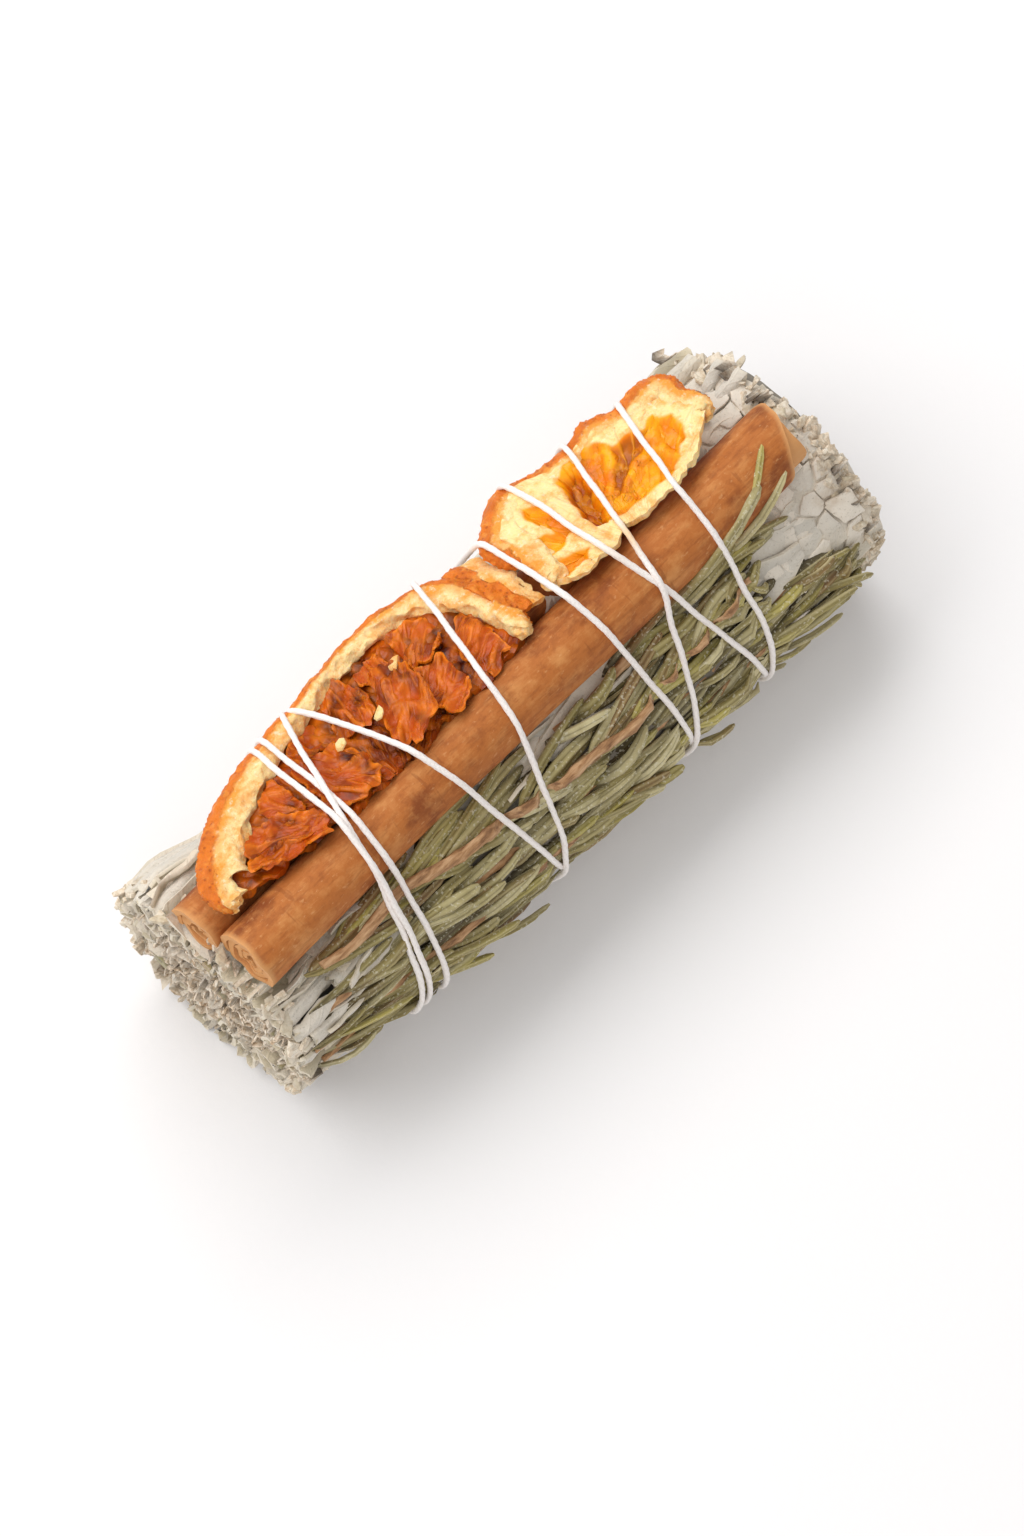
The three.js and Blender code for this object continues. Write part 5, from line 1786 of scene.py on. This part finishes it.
def under_string(shapes, context):
    """Leaves and needles give way to the string that presses into them."""
    radius = context.scene.smudge_string.radius / MM
    line = wound_line(radius)
    tree = KDTree(len(line))
    for i, point in enumerate(line):
        tree.insert(point, i)
    tree.balance()
    reach = 2.4
    for shape in shapes:
        points = shape.points
        found = [tree.find(point) for point in points]
        nearest = line[[index for _, index, _ in found]]
        apart = np.array([distance for _, _, distance in found])
        out = np.hypot(points[:, 1], points[:, 2] - AXIS_HEIGHT)
        string_out = np.hypot(nearest[:, 1], nearest[:, 2] - AXIS_HEIGHT)
        aside = np.sqrt(np.clip(apart ** 2 - (out - string_out) ** 2, 0, None))
        limit = string_out - radius - 0.1 + 2.2 * (aside / reach) ** 2
        share = np.where((aside < reach) & (apart < 5), np.minimum(out, limit) / np.maximum(out, 1e-6), 1)
        points[:, 1] *= share
        points[:, 2] = AXIS_HEIGHT + (points[:, 2] - AXIS_HEIGHT) * share
    return shapes


def twisted_string(points, radius, twist, sides=12):
    """Rings of a three-ply string along a line, and how near each point is to the crest of a ply."""
    ahead = unit(np.gradient(points, axis=0))
    outward = unit(points * (0, 1, 1) - (0, 0, AXIS_HEIGHT))
    aside = unit(np.cross(ahead, outward))
    outward = np.cross(aside, ahead)
    around = circle(sides)
    spin = 3 * (around - 2 * np.pi * run_along(points)[:, None] / twist)
    size = radius * (0.94 + 0.09 * np.cos(spin)) * (1 + 0.06 * waves(points, 7, 5)[:, None])
    section = np.cos(around)[:, None] * aside[:, None, :] + np.sin(around)[:, None] * outward[:, None, :]
    return points[:, None, :] + size[..., None] * section, 0.5 + 0.5 * np.cos(spin)


def string_finish(settings):
    """Soft white cotton with a fine twist and painted shade between the plies."""
    cotton = Finish("Cotton string", 0.95, Sheen_Weight=0.3, Sheen_Roughness=0.5, Specular_IOR_Level=0.1)
    colour = cotton.layers(
        settings.cotton,
        # Painted shade in the grooves between the plies.
        (paint(206, 190, 178), cotton.value("ply"), 0.0, 0.55, 0.28, 0),
        (paint(244, 228, 220), cotton.noise(2.4), 0.5, 0.75, 0, 0.3))
    colour = cotton.mix(cotton.part("stain", 0.8), colour, settings.stain)
    return cotton.done(colour, cotton.bump(cotton.noise(0.28, 3, 0.65), 0.12, 0.8))


class SMUDGE_OT_string(bpy.types.Operator):
    """Makes the cotton string that binds the bundle, with its knot behind"""

    bl_idname = "smudge.string"
    bl_label = "Cotton string"

    def execute(self, context):
        settings = context.scene.smudge_string
        material = string_finish(settings)
        radius = settings.radius / MM
        line = wound_line(radius)
        middle = (line[0] + line[-1]) / 2
        share = np.linspace(0, 1, 50)
        lines = [line]
        for side in (-1, 1):
            height = 1.6 + 0.4 * np.sin(5 * share)
            tail = on_bundle(middle[0] + side * 4.2 * share, KNOT_ANGLE + 14 * share, height)
            lines.append(tail + (middle - tail[0]) * (1 - share[:, None]) ** 2)
        turn = np.linspace(0, 2 * np.pi * 1.6, 70)
        loop = np.stack([1.3 * np.cos(turn), 0.5 * np.sin(2 * turn), 1.1 * np.sin(turn)], -1)
        lines.append(middle + loop)
        shapes = []
        for points in lines:
            rings, ply = twisted_string(points, radius, settings.twist / MM)
            juice = np.exp(-(np.linalg.norm(points - JUICE_SPOT, axis=1) / JUICE_REACH) ** 2)
            shapes.append(loft(rings, ply=ply, stain=juice[:, None]))
        make_piece("cotton_string_wound", shapes, material, "cotton", "cotton_string")
        return {"FINISHED"}


def floor_finish(settings):
    """Plain pale paper."""
    paper = Finish("Pale floor", 0.9, Specular_IOR_Level=0.1)
    tooth = paper.noise(1.2, 4, 0.6)
    colour = paper.mix(paper.step(tooth, 0.3, 0.7, 0, 0.25), settings.floor, paint(240, 238, 237))
    return paper.done(colour, paper.bump(tooth, 0.1, 0.3))


class SMUDGE_OT_stage(bpy.types.Operator):
    """Makes the floor, the soft studio light and the camera"""

    bl_idname = "smudge.stage"
    bl_label = "Studio"

    def execute(self, context):
        settings = context.scene.smudge_stage
        bpy.ops.object.select_all(action="DESELECT")
        bpy.ops.mesh.primitive_grid_add(size=settings.floor_size, x_subdivisions=8, y_subdivisions=8)
        floor = context.object
        floor.name = "studio_floor"
        floor.data.materials.append(floor_finish(settings))
        context.scene.view_settings.view_transform = "Standard"
        world = bpy.data.worlds.new("White studio")
        world.use_nodes = True
        background = world.node_tree.nodes["Background"]
        background.inputs["Color"].default_value = (1, 1, 1, 1)
        background.inputs["Strength"].default_value = settings.surround
        context.scene.world = world
        self.add_light(context, "key_light", KEY_PLACE, KEY_SIZE, settings.key)
        self.add_light(context, "fill_light", FILL_PLACE, FILL_SIZE, settings.fill)
        self.add_camera(context)
        return {"FINISHED"}

    def add_camera(self, context):
        """A camera with the photograph's view."""
        azimuth, elevation = math.radians(VIEW_AZIMUTH), math.radians(VIEW_ELEVATION)
        back = Vector((
            math.sin(azimuth) * math.cos(elevation),
            -math.cos(azimuth) * math.cos(elevation),
            math.sin(elevation)))
        target = Vector((np.array(VIEW_TARGET) + ORIGIN) * MM)
        bpy.ops.object.camera_add(location=target + back * VIEW_DISTANCE * MM)
        camera = context.object
        camera.name = "photo_camera"
        camera.rotation_mode = "QUATERNION"
        camera.rotation_quaternion = (-back).to_track_quat("-Z", "Y")
        camera.data.lens = LENS
        camera.data.sensor_width = SENSOR
        camera.data.clip_start = 0.01
        context.scene.camera = camera

    def add_light(self, context, name, location, size, power):
        """A large soft light that points at the bundle."""
        bpy.ops.object.light_add(type="AREA", location=location)
        light = context.object
        light.name = name
        light.data.shape = "RECTANGLE"
        light.data.size, light.data.size_y = size
        light.data.energy = power
        light.rotation_mode = "QUATERNION"
        light.rotation_quaternion = (-Vector(location)).to_track_quat("-Z", "Y")


OPERATORS = (
    SMUDGE_OT_stage, SMUDGE_OT_string, SMUDGE_OT_sage,
    SMUDGE_OT_quills, SMUDGE_OT_slices, SMUDGE_OT_rosemary,
)


class SMUDGE_PT_panel(bpy.types.Panel):
    """Lists the steps that dress the smudge stick"""

    bl_idname = "SMUDGE_PT_panel"
    bl_label = "Smudge stick"
    bl_space_type = "VIEW_3D"
    bl_region_type = "UI"
    bl_category = "Smudge stick"

    def draw(self, context):
        for operator in OPERATORS:
            self.layout.operator(operator.bl_idname)


SETTINGS = {
    "smudge_sage": SageSettings,
    "smudge_quills": QuillSettings,
    "smudge_orange": OrangeSettings,
    "smudge_rosemary": RosemarySettings,
    "smudge_string": StringSettings,
    "smudge_stage": StageSettings,
}
CLASSES = (*SETTINGS.values(), *OPERATORS, SMUDGE_PT_panel)


def register():
    """Adds the classes and their settings to the scene."""
    for each in CLASSES:
        bpy.utils.register_class(each)
    for name, settings in SETTINGS.items():
        setattr(bpy.types.Scene, name, bpy.props.PointerProperty(type=settings))


def unregister():
    """Takes the settings and the classes away again."""
    for name in SETTINGS:
        delattr(bpy.types.Scene, name)
    for each in reversed(CLASSES):
        bpy.utils.unregister_class(each)


def main():
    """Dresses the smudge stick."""
    register()
    bpy.ops.smudge.stage()
    bpy.ops.smudge.string()
    bpy.ops.smudge.sage()
    bpy.ops.smudge.quills()
    bpy.ops.smudge.slices()
    bpy.ops.smudge.rosemary()


if __name__ == "__main__":
    main()
